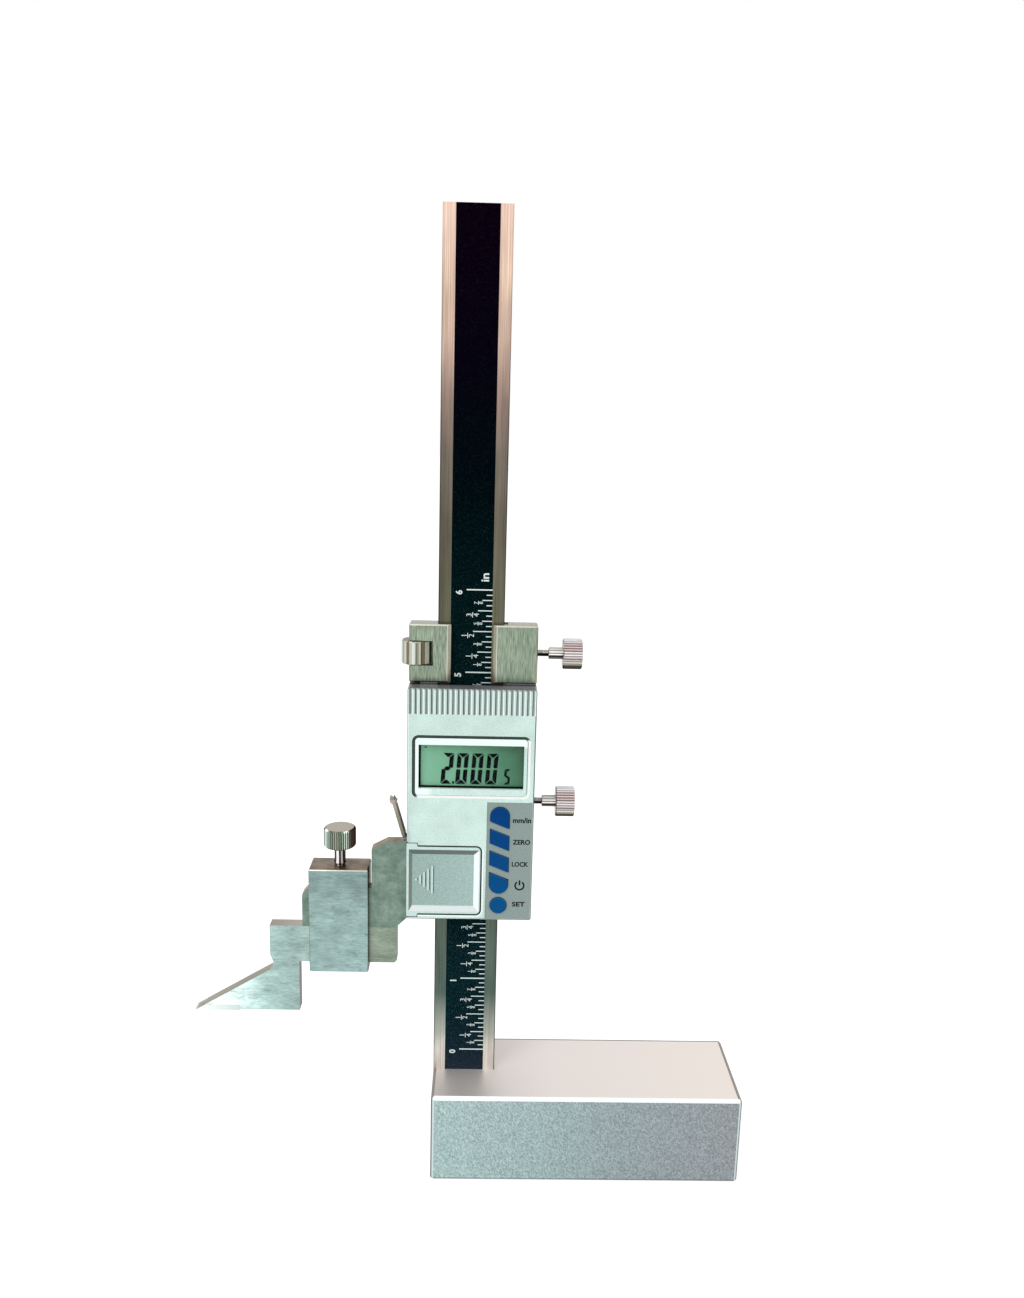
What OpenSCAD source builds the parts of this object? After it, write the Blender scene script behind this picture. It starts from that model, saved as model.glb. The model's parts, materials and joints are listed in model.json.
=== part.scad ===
// Digital height gauge with a scriber, in millimetres.
// The origin is the centre of the base's underside, +Z is up and the front faces -Y.
// Pieces of the slider are drawn from the bottom edge of its housing, and pieces of
// the fine-adjust carriage from the bottom of its block.

/* [Base] */
// Width of the base
base_w = 99; // [90:1:120]
// Depth of the base
base_d = 35; // [30:1:50]
// Height of the base
base_h = 29.2; // [24:0.2:34]
// Bevel along the edges of the base
base_bevel = 1; // [0.4:0.1:1.6]
// Bevel around the underside of the base
base_foot_bevel = 0.3; // [0.1:0.1:0.4]
// Depth of the pocket that holds the beam's foot
foot_depth = 18; // [14:1:21]
// Thread of the two screws that hold the foot
foot_screw_d = 4; // [3:0.5:4.5]
// Distance between the two foot screws
foot_screw_gap = 10; // [9:0.5:12]

/* [Beam] */
// Width of the beam
beam_w = 20; // [18:0.5:22]
// Thickness of the beam
beam_t = 3.5; // [3:0.1:4.5]
// Height of the beam's top above the surface
beam_top = 298; // [292:1:330]
// Bevel along the beam's edges
beam_bevel = 0.3; // [0.1:0.1:0.5]
// Width of the printed scale strip
strip_w = 12.5; // [10:0.5:14]
// Thickness of the printed scale strip
strip_t = 0.4; // [0.2:0.1:0.8]

/* [Slider frame] */
// Reading at which the gauge is drawn
reading = 50.8; // [0:0.1:150]
// Height of the housing's bottom edge above the surface at reading 0
housing_zero = 35.2; // [34.2:0.2:39]
// Width of the frame's left rail
rail_l = 8.6; // [8:0.2:11]
// Width of the frame's right rail
rail_r = 10.2; // [9:0.2:13]
// Thickness of the lips in front of the beam
lip_t = 2.2; // [1.6:0.1:3]
// Width of the bevels beside the carriage's slot
slot_bevel_w = 1.2; // [0.4:0.1:1.6]
// Depth of those bevels
slot_bevel_d = 0.5; // [0.2:0.1:1]
// Width of the open slot over the scale
slot_w = 12.7; // [11:0.1:14]
// Offset of that slot from the beam's centre line
slot_shift = 0.35; // [-0.5:0.05:0.8]
// Thickness of the wall behind the beam
back_wall = 1.2; // [1:0.1:2]
// Thickness of the brass gib strips
gib_t = 1; // [0.6:0.1:1.4]

/* [Jaw and arm] */
// Thickness of the jaw, its arm and the scriber
arm_t = 4.5; // [3.6:0.1:5.5]
// Reach of the jaw to the left of the frame
jaw_reach = 11.3; // [9:0.1:14]
// Height of the jaw's top over the housing's bottom edge
jaw_top = 23.1; // [20:0.1:24]
// Drop of the jaw's underside below the housing's bottom edge
jaw_drop = 5.5; // [4:0.1:7]
// Height of the arm
arm_h = 13; // [11:0.1:15]
// Length of the arm beyond the jaw
arm_len = 21.9; // [21:0.1:26]

/* [Scriber and clamp] */
// Height of the scriber's shank
shank_h = 12.2; // [10:0.1:14]
// Length of the shank to the right of the leg
shank_len = 31.1; // [28:0.1:34]
// Width of the scriber's leg
leg_w = 9.2; // [8:0.1:11]
// Reach of the blade to the left of the leg
blade_len = 24.4; // [20:0.1:28]
// Height of the blade where it meets the leg
blade_h = 15.2; // [12:0.1:16]
// Radius of the hollow above the blade
hollow_r = 2.6; // [1.5:0.1:4.5]
// Length of the carbide tip
carbide_len = 14.4; // [10:0.1:18]
// Height of the carbide tip
carbide_h = 1.9; // [1.2:0.1:2.6]
// How far the carbide stands below the leg
carbide_drop = 0.4; // [0.1:0.1:0.8]
// Gap between the leg and the clamp box
leg_gap = 3.7; // [3.4:0.1:5]
// Width of the clamp box
clamp_w = 18.6; // [15:0.1:19]
// Depth of the clamp box
clamp_d = 10.1; // [9:0.1:13]
// Thickness of the clamp box's floor
clamp_floor = 2.1; // [1.4:0.1:4]
// Thickness of the clamp box's top
clamp_roof = 6.8; // [5:0.1:9]
// Play between the arm and the clamp box's roof
clamp_play = 0.4; // [0.2:0.1:0.9]
// Thread of the clamp screw
clamp_screw_d = 3; // [2.5:0.1:4]
// Shank of the clamp screw
clamp_shank_d = 3.5; // [3:0.1:4.5]
// Length of the clamp screw's shank
clamp_shank_l = 6; // [4:0.1:9]
// Diameter of the clamp screw's head
clamp_head_d = 10; // [8:0.1:13]
// Height of the clamp screw's head
clamp_head_h = 6.2; // [4:0.1:8]

/* [Display housing] */
// Height of the housing
housing_h = 74; // [72:0.5:82]
// Depth of the housing in front of the frame
housing_t = 5.5; // [5.3:0.1:7]
// Thickness of the housing's front wall
front_wall = 1.2; // [1:0.05:1.4]
// Thickness of the housing's side walls
side_wall = 1; // [0.8:0.1:1.4]
// Bevel around the housing's front
housing_bevel = 0.4; // [0.2:0.1:0.6]
// Height of the ribbed grip band
grip_h = 7.9; // [6:0.1:9]
// Distance between the grip's ribs
grip_pitch = 1.6; // [1.2:0.1:2.4]
// Depth of the grip's grooves
grip_depth = 0.5; // [0.2:0.1:0.6]

/* [Display] */
// Width of the display window
lcd_w = 31.9; // [28:0.1:33]
// Height of the display window
lcd_h = 13.8; // [11:0.1:15]
// Height of the window's centre over the housing's bottom edge
lcd_z = 49.7; // [48.5:0.1:51]
// Width of the sunk field around the window
field_w = 35.8; // [34.6:0.1:37]
// Height of the sunk field
field_h = 19.9; // [18.6:0.1:20.4]
// Depth of the sunk field
field_depth = 0.6; // [0.2:0.05:0.8]
// Corner radius of the sunk field
field_r = 2; // [1:0.1:3]
// Width of the raised rim beside the window
rim_w = 1; // [0.6:0.05:1.3]
// Width of the raised rim above and below the window
rim_h = 2.1; // [0.6:0.05:2.4]

/* [Keys and battery] */
// Distance from the housing's right side to the keys' centre line
key_inset = 10.3; // [9.6:0.1:11.5]
// Width of the keys
key_w = 5.8; // [5:0.1:6.6]
// Height of the lowest key's centre
key_z = 5; // [4.6:0.1:6]
// Distance between the rows of keys
key_pitch = 7.1; // [6.8:0.1:7.3]
// How far the keys stand out of the label
key_rise = 0.5; // [0.3:0.1:1]
// Travel of a key
key_travel = 0.4; // [0.2:0.1:0.5]
// Width of the label around the keys
label_w = 14.3; // [13.5:0.1:15]
// Height of the label around the keys
label_h = 38.7; // [37.8:0.1:39]
// Thickness of the label
label_t = 0.2; // [0.1:0.05:0.3]
// Diameter of the battery
cell_d = 20; // [18:0.5:20]
// Thickness of the battery
cell_t = 3.2; // [2:0.1:3.2]
// Width of the battery cover
cover_w = 22.9; // [22:0.1:23.2]
// Height of the battery cover
cover_h = 22.3; // [21:0.1:22.6]
// Height of the battery cover's centre
cover_z = 13; // [12.8:0.1:13.1]
// Gap around the front of the battery cover
cover_gap = 0.2; // [0.05:0.05:0.25]

/* [Fine adjustment] */
// Height of the carriage block
carriage_h = 17.8; // [16:0.1:22]
// Gap between the housing and the carriage
carriage_gap = 0.7; // [0.6:0.1:3]
// Diameter of the threaded rod
rod_d = 2.5; // [2:0.1:2.8]
// Distance from the block's left side to the rod
rod_inset = 2; // [1.9:0.1:2.6]
// Diameter of the fine-adjust nut
nut_d = 9.1; // [8:0.1:9.4]
// Height of the fine-adjust nut
nut_h = 7.2; // [5:0.1:8]

/* [Lock screws] */
// Thread of the lock screws
lock_d = 2.2; // [2:0.1:3]
// Diameter of the lock screws' collar
lock_collar_d = 3.6; // [3.2:0.1:5]
// Length of the collar
lock_collar_l = 4.3; // [3:0.1:6]
// Diameter of the knurled head
lock_head_d = 9.5; // [8:0.1:12]
// Length of the knurled head
lock_head_l = 5.9; // [4:0.1:8]
// Thread that shows between the carriage and its screw's collar
lock_show = 3.4; // [2:0.1:5]
// Thread that shows between the slider and its screw's collar
slider_lock_show = 2.7; // [2:0.1:5]
// Height of the slider's lock screw over the housing's bottom edge
slider_lock_z = 36.2; // [35:0.1:38]

/* [Port cover] */
// Length of the port cover from its hinge
port_len = 13.8; // [11:0.1:14.5]
// Thickness of the port cover
port_t = 1; // [0.8:0.1:1.2]
// Height of the hinge over the housing's bottom edge
port_hinge_z = 25.6; // [25.4:0.1:26.4]
// Angle at which the port cover stands open
port_open = 16; // [2:1:60]

/* [Hidden] */
$fn = 64;

// Clearances
fit = 0.05;
snug = 0.02;
loose = 0.15;
over = 1;

// Beam and base
beam_x = -base_w / 2 + beam_w / 2;
beam_l = beam_x - beam_w / 2;
beam_r = beam_x + beam_w / 2;
beam_f = -beam_t / 2;
foot_z = base_h - foot_depth;
foot_screw_z = base_h - foot_depth / 2;
foot_head_d = foot_screw_d * 1.75;
foot_head_l = foot_screw_d;
foot_head_sink = 4.4;

// Sliding bodies
body_l = beam_l - rail_l;
body_r = beam_r + rail_r;
body_w = body_r - body_l;
body_x = (body_l + body_r) / 2;
frame_f = beam_f - fit - lip_t;
frame_b = beam_t / 2 + fit + back_wall;
channel_l = beam_l - fit;
channel_r = beam_r + gib_t + 2 * fit;
slot_l = beam_x + slot_shift - slot_w / 2;
slider_z = housing_zero + reading;
frame_edge = 0.3;
carriage_z = slider_z + housing_h + carriage_gap;
carriage_mid = carriage_h / 2;
block_bevel = 0.4;
frame_bevel = 0.25;

// Housing
front = frame_f - housing_t;
inner_front = front + front_wall;
board_t = 0.8;
board_f = frame_f - board_t;
key_x = body_r - key_inset;
label_sink = 0.4;
label_f = front + label_sink - label_t;

// Screws, with the housing's given as [x, height]
gib_screw_d = 2;
housing_screw_d = 1.6;
housing_head_d = 3;
housing_head_h = 0.8;
boss_d = 3.6;
boss_inset_l = 5.1;
boss_inset_r = 3.2;
boss_from_top = 11;
boss_under_display_l = 17.7;
boss_under_display_r = 19.7;
boss_top_z = housing_h - boss_from_top;
housing_spots = [
    [body_l + boss_inset_l, lcd_z - boss_under_display_l],
    [body_r - boss_inset_r, lcd_z - boss_under_display_r],
    [body_l + boss_inset_l, boss_top_z], [body_r - boss_inset_r, boss_top_z]
];
gib_screw_low = 14;
gib_screw_from_top = 20;
gib_screw_heights = [gib_screw_low, housing_h - gib_screw_from_top];
screw_slot_w = 0.4;
screw_slot_d = 0.35;

// Jaw, arm, scriber and clamp, seen from the front
jaw_corner = [4.9, 2.6];
jaw_heel = 3.5;
arm_nose = [2.1, 2.5];
clamp_gap = 0.8;
leg_step = 1.1;
leg_slope_top = 2.2;
leg_slope_low = 0.5;
shank_chamfer = 0.8;
arm_bottom = -jaw_drop;
arm_top = arm_bottom + arm_h;
jaw_l = body_l - jaw_reach;
arm_l = jaw_l - arm_len;
shank_top = arm_bottom - fit;
shank_bottom = shank_top - shank_h;
clamp_r = jaw_l - clamp_gap;
clamp_l = clamp_r - clamp_w;
clamp_x = (clamp_l + clamp_r) / 2;
clamp_y = frame_f + arm_t / 2;
clamp_z0 = shank_bottom - fit - clamp_floor;
clamp_z1 = arm_top + clamp_play + clamp_roof;
leg_r = clamp_l - leg_gap;
leg_l = leg_r - leg_w;
leg_in = leg_l + leg_step;
tip_z = -housing_zero;
leg_z = tip_z + carbide_drop;
tip_x = leg_l - blade_len;
blade_z = tip_z + blade_h;
blade_slope = atan2(blade_z - tip_z, leg_in - tip_x);
carbide_r = tip_x + carbide_len;

// Boards and contacts
board_edge = side_wall + 0.2;
pickup_inset = 6;
contact_w = 14;

// Fine adjustment
rod_x = body_l + rod_inset;
rod_y = (frame_f + frame_b) / 2;
rod_depth = 12;

// Label on the back of the frame
label_edge = 1.5;
back_label_t = 0.3;

// Port cover
port_hinge_x = body_l - 0.15 - port_t / 2;
port_y0 = front + 1.3;
port_y1 = frame_f - 0.4;
knuckle_d = 1.5;
pin_d = 0.7;
ear_w = 0.5;
port_rim = 0.4;

// Colours
steel = [0.72, 0.74, 0.71];
dark_steel = [0.55, 0.57, 0.55];
silver = [0.80, 0.84, 0.84];
black = [0.08, 0.09, 0.09];
brass = [0.78, 0.62, 0.32];
blue = [0.02, 0.27, 0.62];

// Places the children in the slider's or the carriage's own height
module on_slider() {
    translate([0, 0, slider_z]) children();
}

module on_carriage() {
    translate([0, 0, carriage_z]) children();
}

// An outline in X and Z, made into a plate from y0 to y1
module xz_plate(y0, y1) {
    translate([0, y1, 0]) rotate([90, 0, 0]) linear_extrude(y1 - y0) children();
}

// Cylinders along X, Y and Z
module x_rod(d, x0, x1, y, z) {
    translate([x0, y, z]) rotate([0, 90, 0]) cylinder(d = d, h = x1 - x0);
}

module y_rod(d, y0, y1, x, z) {
    translate([x, y1, z]) rotate([90, 0, 0]) cylinder(d = d, h = y1 - y0);
}

module z_rod(d, z0, z1, x, y) {
    translate([x, y, z0]) cylinder(d = d, h = z1 - z0);
}

// A rectangle with round corners, about its centre
module round_rect(w, h, r) {
    square([w - 2 * r, h], center = true);
    square([w, h - 2 * r], center = true);
    for (sx = [-1, 1], sy = [-1, 1])
        translate([sx * (w / 2 - r), sy * (h / 2 - r)]) circle(r);
}

// A rectangle with its corners cut off, between two corners
module cut_rect(x0, x1, y0, y1, c) {
    polygon([
        [x0 + c, y0], [x1 - c, y0], [x1, y0 + c], [x1, y1 - c],
        [x1 - c, y1], [x0 + c, y1], [x0, y1 - c], [x0, y0 + c]
    ]);
}

// A box between two corners, with all its edges bevelled
module bevel_box(p, q, c) {
    intersection() {
        translate([0, 0, p[2]]) linear_extrude(q[2] - p[2]) cut_rect(p[0], q[0], p[1], q[1], c);
        xz_plate(p[1], q[1]) cut_rect(p[0], q[0], p[2], q[2], c);
        translate([p[0], 0, 0]) rotate([90, 0, 90]) linear_extrude(q[0] - p[0])
            cut_rect(p[1], q[1], p[2], q[2], c);
    }
}

// A cylinder along Z with bevelled ends
module bevel_rod(d, h, c) {
    cylinder(d1 = d - 2 * c, d2 = d, h = c);
    translate([0, 0, c]) cylinder(d = d, h = h - 2 * c);
    translate([0, 0, h - c]) cylinder(d1 = d, d2 = d - 2 * c, h = c);
}

// A countersunk screw along Y: its flat head lies at y1 and its point at y0
module sunk_screw(d, head_d, head_h, y0, y1, x, z, gap = 0) {
    translate([x, y1, z]) rotate([90, 0, 0]) {
        cylinder(d1 = head_d + 2 * gap, d2 = d + 2 * gap, h = head_h);
        translate([0, 0, head_h]) cylinder(d = d + 2 * gap, h = y1 - y0 - head_h);
    }
}

module screw_slot(head_d, y1, x, z) {
    translate([x - head_d, y1 - screw_slot_d, z - screw_slot_w / 2])
        cube([2 * head_d, over, screw_slot_w]);
}

// The space that the beam and its gib take up in a sliding block, open at the front
module beam_channel(h) {
    translate([channel_l, beam_f - fit, -over])
        cube([channel_r - channel_l, beam_t + 2 * fit, h + 2 * over]);
    translate([slot_l, frame_f - over, -over])
        cube([slot_w, lip_t + beam_t, h + 2 * over]);
}

// The wide bevels along both sides of the carriage's slot
module slot_bevels(h) {
    w = slot_bevel_w;
    translate([0, 0, -over]) linear_extrude(h + 2 * over) polygon([
        [slot_l - w, frame_f - over], [slot_l - w, frame_f], [slot_l, frame_f + slot_bevel_d],
        [slot_l + slot_w, frame_f + slot_bevel_d], [slot_l + slot_w + w, frame_f],
        [slot_l + slot_w + w, frame_f - over]
    ]);
}

// Base
module base_block() {
    color(silver) difference() {
        bevel_box([-base_w / 2, -base_d / 2, base_foot_bevel - base_bevel], [base_w / 2, base_d / 2, base_h],
            base_bevel);
        translate([-base_w, -base_d, -base_bevel - over]) cube([2 * base_w, 2 * base_d, base_bevel + over]);
        translate([beam_l - over, beam_f - snug, foot_z])
            cube([beam_w + over + snug, beam_t + 2 * snug, foot_depth + over]);
        for (s = [-1, 1]) {
            y_rod(foot_screw_d + 2 * loose, 0, base_d, beam_x + s * foot_screw_gap / 2, foot_screw_z);
            y_rod(foot_screw_d + 2 * snug, beam_f - 4, 0, beam_x + s * foot_screw_gap / 2, foot_screw_z);
            y_rod(foot_head_d + 2 * loose, base_d / 2 - foot_head_sink, base_d,
                beam_x + s * foot_screw_gap / 2, foot_screw_z);
        }
    }
}

module foot_screw(x) {
    head_y = base_d / 2 - foot_head_sink;
    difference() {
        union() {
            y_rod(foot_screw_d, beam_f - 3, head_y, x, foot_screw_z);
            y_rod(foot_head_d, head_y, head_y + foot_head_l, x, foot_screw_z);
        }
        translate([x, head_y + foot_head_l + over, foot_screw_z]) rotate([90, 0, 0])
            cylinder(d = foot_screw_d * 0.85, h = foot_screw_d * 0.6 + over, $fn = 6);
    }
}

module foot_screws() {
    color(dark_steel) for (s = [-1, 1]) foot_screw(beam_x + s * foot_screw_gap / 2);
}

// Beam
module beam() {
    color(steel) difference() {
        translate([0, 0, foot_z]) linear_extrude(beam_top - foot_z)
            cut_rect(beam_l, beam_r, beam_f, beam_t / 2, beam_bevel);
        translate([beam_x - strip_w / 2, beam_f - over, base_h])
            cube([strip_w, over + strip_t, beam_top - base_h + over]);
        for (s = [-1, 1])
            y_rod(foot_screw_d + 2 * snug, -beam_t, beam_t, beam_x + s * foot_screw_gap / 2, foot_screw_z);
    }
}

module scale_strip() {
    color(black) translate([beam_x - strip_w / 2 + snug, beam_f, base_h])
        cube([strip_w - 2 * snug, strip_t, beam_top - base_h]);
}

// Slider frame with its jaw and arm
module jaw_outline() {
    polygon([
        [body_l + over, jaw_top], [jaw_l + jaw_corner[0], jaw_top], [jaw_l, jaw_top - jaw_corner[1]],
        [jaw_l, arm_top], [arm_l + arm_nose[0], arm_top], [arm_l, arm_top - arm_nose[1]],
        [arm_l, arm_bottom], [body_l - jaw_heel, arm_bottom],
        [body_l - jaw_heel + jaw_drop + over, over]
    ]);
}

module slider_frame() {
    color(steel) on_slider() difference() {
        union() {
            bevel_box([body_l, frame_f, frame_edge], [body_r, frame_b, housing_h - frame_edge], frame_bevel);
            xz_plate(frame_f, frame_f + arm_t) jaw_outline();
        }
        beam_channel(housing_h);
        x_rod(lock_d + 2 * fit, channel_r - over, body_r + over, 0, slider_lock_z);
        for (z = gib_screw_heights)
            x_rod(gib_screw_d + 2 * snug, channel_r - over, body_r + over, 0, z);
        z_rod(rod_d + 2 * snug, housing_h - rod_depth, housing_h + over, rod_x, rod_y);
        for (p = housing_spots)
            sunk_screw(housing_screw_d, housing_head_d, housing_head_h, frame_f - over, frame_b,
                p[0], p[1], snug);
    }
}

module back_label() {
    color([0.75, 0.76, 0.77]) on_slider()
        translate([body_l + label_edge, frame_b, label_edge])
            cube([body_w - 2 * label_edge, back_label_t, housing_h - 2 * label_edge]);
}

module gib(z0, z1) {
    translate([beam_r + fit, beam_f, z0]) cube([gib_t, beam_t, z1 - z0]);
}

module slider_gib() {
    color(brass) on_slider() gib(frame_edge, housing_h - frame_edge);
}

module gib_screws() {
    screw_end = body_r - 1.2;
    color(dark_steel) on_slider() for (z = gib_screw_heights) difference() {
        x_rod(gib_screw_d, channel_r, screw_end, 0, z);
        translate([screw_end - screw_slot_d, -gib_screw_d, z - screw_slot_w / 2])
            cube([over, 2 * gib_screw_d, screw_slot_w]);
    }
}

// Keys: each outline is drawn about its own height and grows by g on every side
key_lean = 1.2;

module slanted_key(g) {
    w = key_w / 2 + g;
    h = 2.3 + g;
    polygon([[-w, key_lean + h], [w, h - key_lean], [w, -key_lean - h], [-w, key_lean - h]]);
}

// The upper (side 1) or the lower (side -1) half of a disc, and a little more
module half_disc(r, side) {
    intersection() {
        circle(r);
        translate([0, side * (r / 2 - 0.25)]) square([2 * r + over, r + 0.5], center = true);
    }
}

module power_key(g) {
    w = key_w / 2 + g;
    half_disc(w, -1);
    polygon([[-w, key_lean + 2.8 + g], [w, 2.8 - key_lean + g], [w, 0], [-w, 0]]);
}

module units_key(g) {
    w = key_w / 2 + g;
    half_disc(w, 1);
    polygon([[-w, 0], [w, 0], [w, -2.9 - key_lean - g], [-w, key_lean - 2.9 - g]]);
}

module key_outline(i, g) {
    if (i == 0) circle(2.6 + g);
    if (i == 1) power_key(g);
    if (i == 2 || i == 3) slanted_key(g);
    if (i == 4) units_key(g);
}

function key_height(i) = key_z + key_pitch * i + [0, -0.2, 0.3, 0.3, 0.9][i];

module key_place(i) {
    translate([key_x, 0, key_height(i)]) children();
}

module key_cap(i) {
    color(blue) on_slider() key_place(i) {
        xz_plate(front + label_sink - label_t - key_rise, inner_front + 0.3) key_outline(i, 0);
        xz_plate(inner_front + fit, inner_front + 0.55) square([key_w + 1.2, 2.4], center = true);
    }
}

module key_holes(g, y0, y1) {
    for (i = [0:4]) key_place(i) xz_plate(y0, y1) key_outline(i, g);
}

module key_label() {
    color([0.70, 0.73, 0.74]) on_slider() difference() {
        translate([body_r - label_w + snug, label_f, housing_bevel])
            cube([label_w - housing_bevel - 2 * snug, label_t, label_h - housing_bevel - snug]);
        key_holes(loose, front - over, inner_front);
    }
}

module key_mat() {
    mat_top = board_f - 0.6;
    color([0.25, 0.26, 0.27]) on_slider() {
        translate([key_x - key_w / 2 - 0.7, mat_top, 1.6])
            cube([key_w + 1.4, board_f - mat_top, key_height(4) + 1.6]);
        for (i = [0:4])
            y_rod(3, inner_front + 0.55 + key_travel + 0.15, mat_top, key_x, key_height(i));
    }
}

// Battery cover: a plate with a wider left end, and tongues that run in the housing
cover_tab_w = 3.3;
cover_tab_h = 1.8;
tongue = 0.7;

module cover_outline(g) {
    r = 1.5;
    translate([body_l + cover_w / 2, cover_z]) round_rect(cover_w + 2 * g, cover_h + 2 * g, r);
    translate([body_l - g, cover_z - cover_h / 2 - g]) square([cover_w / 2, cover_h + 2 * g]);
    translate([body_l - g, cover_z - (cover_h + cover_tab_h) / 2 - g])
        square([cover_tab_w + 2 * g, cover_h + cover_tab_h + 2 * g]);
}

module cover_body(gap, g) {
    split = front + front_wall / 2;
    xz_plate(front, inner_front) cover_outline(gap);
    translate([body_l + cover_tab_w - 0.2 - g, split - g, cover_z - cover_h / 2 - tongue - g])
        cube([cover_w - cover_tab_w - 3 + 2 * g, inner_front - split + g, cover_h + 2 * (tongue + g)]);
}

// A sunk field with four sloping sides, and its arrow of ridges that grow by the same step
recess_depth = 0.6;
recess_l = body_l + 0.7;
recess_r = body_l + cover_w - 0.5;
recess_b = cover_z - cover_h / 2 + 0.9;
recess_t = cover_z + cover_h / 2 - 1.1;
recess_slope = 1.65;
recess_slope_l = 1;
ridge_w = 0.6;
ridge_pitch = 1.24;
ridge_step = 2.1;

module cover_recess() {
    f0 = front - over;
    f1 = front + recess_depth;
    spread = over * recess_slope / recess_depth;
    spread_l = over * recess_slope_l / recess_depth;
    intersection() {
        translate([0, 0, recess_b - spread]) linear_extrude(recess_t - recess_b + 2 * spread) polygon([
            [recess_l - spread_l, f0], [recess_r + spread, f0], [recess_r - recess_slope, f1],
            [recess_l + recess_slope_l, f1]
        ]);
        translate([recess_l - spread_l, 0, 0]) rotate([90, 0, 90])
            linear_extrude(recess_r - recess_l + spread_l + spread) polygon([
                [f0, recess_b - spread], [f0, recess_t + spread], [f1, recess_t - recess_slope],
                [f1, recess_b + recess_slope]
            ]);
    }
}

module cover_arrow() {
    for (i = [0:4])
        translate([body_l + 2.7 + ridge_pitch * i, front + 0.2, cover_z + 0.1 - (0.7 + ridge_step * i) / 2])
            cube([ridge_w, recess_depth, 0.7 + ridge_step * i]);
}

module battery_cover() {
    color(silver) on_slider() {
        difference() {
            cover_body(0, 0);
            cover_recess();
        }
        cover_arrow();
    }
}

module battery_cell() {
    cell_b = board_f - 0.2;
    color([0.8, 0.8, 0.78]) on_slider()
        y_rod(cell_d, cell_b - cell_t, cell_b, body_l + cover_w / 2 + 0.15, cover_z);
}

module battery_contacts() {
    cell_x = body_l + cover_w / 2 + 0.15;
    color(brass) on_slider() {
        translate([cell_x - contact_w / 2, board_f - 0.2, cover_z - 1.5]) cube([contact_w, 0.2, 3]);
        translate([cell_x + cell_d / 2 + fit, board_f - 2.4, cover_z - 2]) cube([0.4, 2.4, 4]);
    }
}

// Display housing
module housing_shell() {
    difference() {
        bevel_box([body_l, front, 0], [body_r, frame_f + over, housing_h], housing_bevel);
        translate([body_l - over, frame_f, -over]) cube([body_w + 2 * over, 3 * over, housing_h + 2 * over]);
        translate([body_l + side_wall, inner_front, side_wall])
            cube([body_w - 2 * side_wall, housing_t + over, housing_h - 2 * side_wall]);
    }
}

module grip_grooves() {
    count = floor(body_w / grip_pitch);
    for (i = [0:count - 1])
        translate([body_x + (i - (count - 1) / 2) * grip_pitch - 0.4, front - over, housing_h - grip_h])
            cube([0.8, over + grip_depth, grip_h + over]);
}

module display_field() {
    difference() {
        translate([body_x, 0, lcd_z])
            xz_plate(front - over, front + field_depth) round_rect(field_w, field_h, field_r);
        translate([body_x, 0, lcd_z])
            xz_plate(front + 0.15, inner_front) round_rect(lcd_w + 2 * rim_w, lcd_h + 2 * rim_h, field_r / 2);
    }
    translate([body_x, 0, lcd_z])
        xz_plate(front - over, inner_front + over) square([lcd_w, lcd_h], center = true);
}

module port_ears() {
    for (y = [port_y0, port_y1 - ear_w]) {
        y_rod(knuckle_d, y, y + ear_w, port_hinge_x, port_hinge_z);
        translate([port_hinge_x, y, port_hinge_z - knuckle_d / 2])
            cube([body_l - port_hinge_x + side_wall / 2, ear_w, knuckle_d]);
    }
}

module port_window() {
    translate([body_l - over, port_y0 + port_rim, port_hinge_z + 2.4])
        cube([side_wall + 2 * over, port_y1 - port_y0 - 2 * port_rim, port_len - 2.8]);
}

module display_housing() {
    color(silver) on_slider() {
        difference() {
            union() {
                housing_shell();
                port_ears();
                for (p = housing_spots) y_rod(boss_d, inner_front - snug, frame_f, p[0], p[1]);
            }
            grip_grooves();
            display_field();
            cover_body(cover_gap, fit);
            translate([body_r - label_w, front - over, -over])
                cube([label_w + over, over + label_sink, label_h + over]);
            key_holes(loose, front - over, inner_front + over);
            port_window();
            y_rod(knuckle_d + 2 * loose, port_y0 + ear_w, port_y1 - ear_w, port_hinge_x, port_hinge_z);
            y_rod(pin_d + 2 * snug, front, frame_f, port_hinge_x, port_hinge_z);
            for (p = housing_spots)
                y_rod(housing_screw_d + 2 * snug, inner_front + 0.4, frame_f + over, p[0], p[1]);
        }
    }
}

module housing_screws() {
    color(dark_steel) on_slider() for (p = housing_spots) difference() {
        sunk_screw(housing_screw_d, housing_head_d, housing_head_h, inner_front + 0.6, frame_b, p[0], p[1]);
        screw_slot(housing_head_d, frame_b, p[0], p[1]);
    }
}

// Display stack, from the front to the board
lens_t = 0.8;
gasket_t = 0.5;
gasket_edge_l = 0.7;
gasket_edge_b = 0.3;
lens_f = inner_front;
panel_f = lens_f + lens_t + gasket_t;
contact_t = 0.6;

module display_lens() {
    color([0.8, 0.9, 0.85, 0.4]) on_slider() translate([body_x, 0, lcd_z])
        xz_plate(lens_f, lens_f + lens_t) square([lcd_w + 1, lcd_h + 1], center = true);
}

module display_gasket() {
    color(black) on_slider() translate([body_x, 0, lcd_z]) difference() {
        xz_plate(lens_f + lens_t, panel_f) square([lcd_w + 1, lcd_h + 1], center = true);
        translate([gasket_edge_l / 2, 0, gasket_edge_b / 2]) xz_plate(lens_f, panel_f + over)
            square([lcd_w - gasket_edge_l + 0.3, lcd_h - gasket_edge_b + 0.1], center = true);
    }
}

module display_panel() {
    color([0.42, 0.62, 0.50]) on_slider() translate([body_x, 0, lcd_z])
        xz_plate(panel_f, board_f - contact_t) square([lcd_w + 1, lcd_h + 2], center = true);
}

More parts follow.
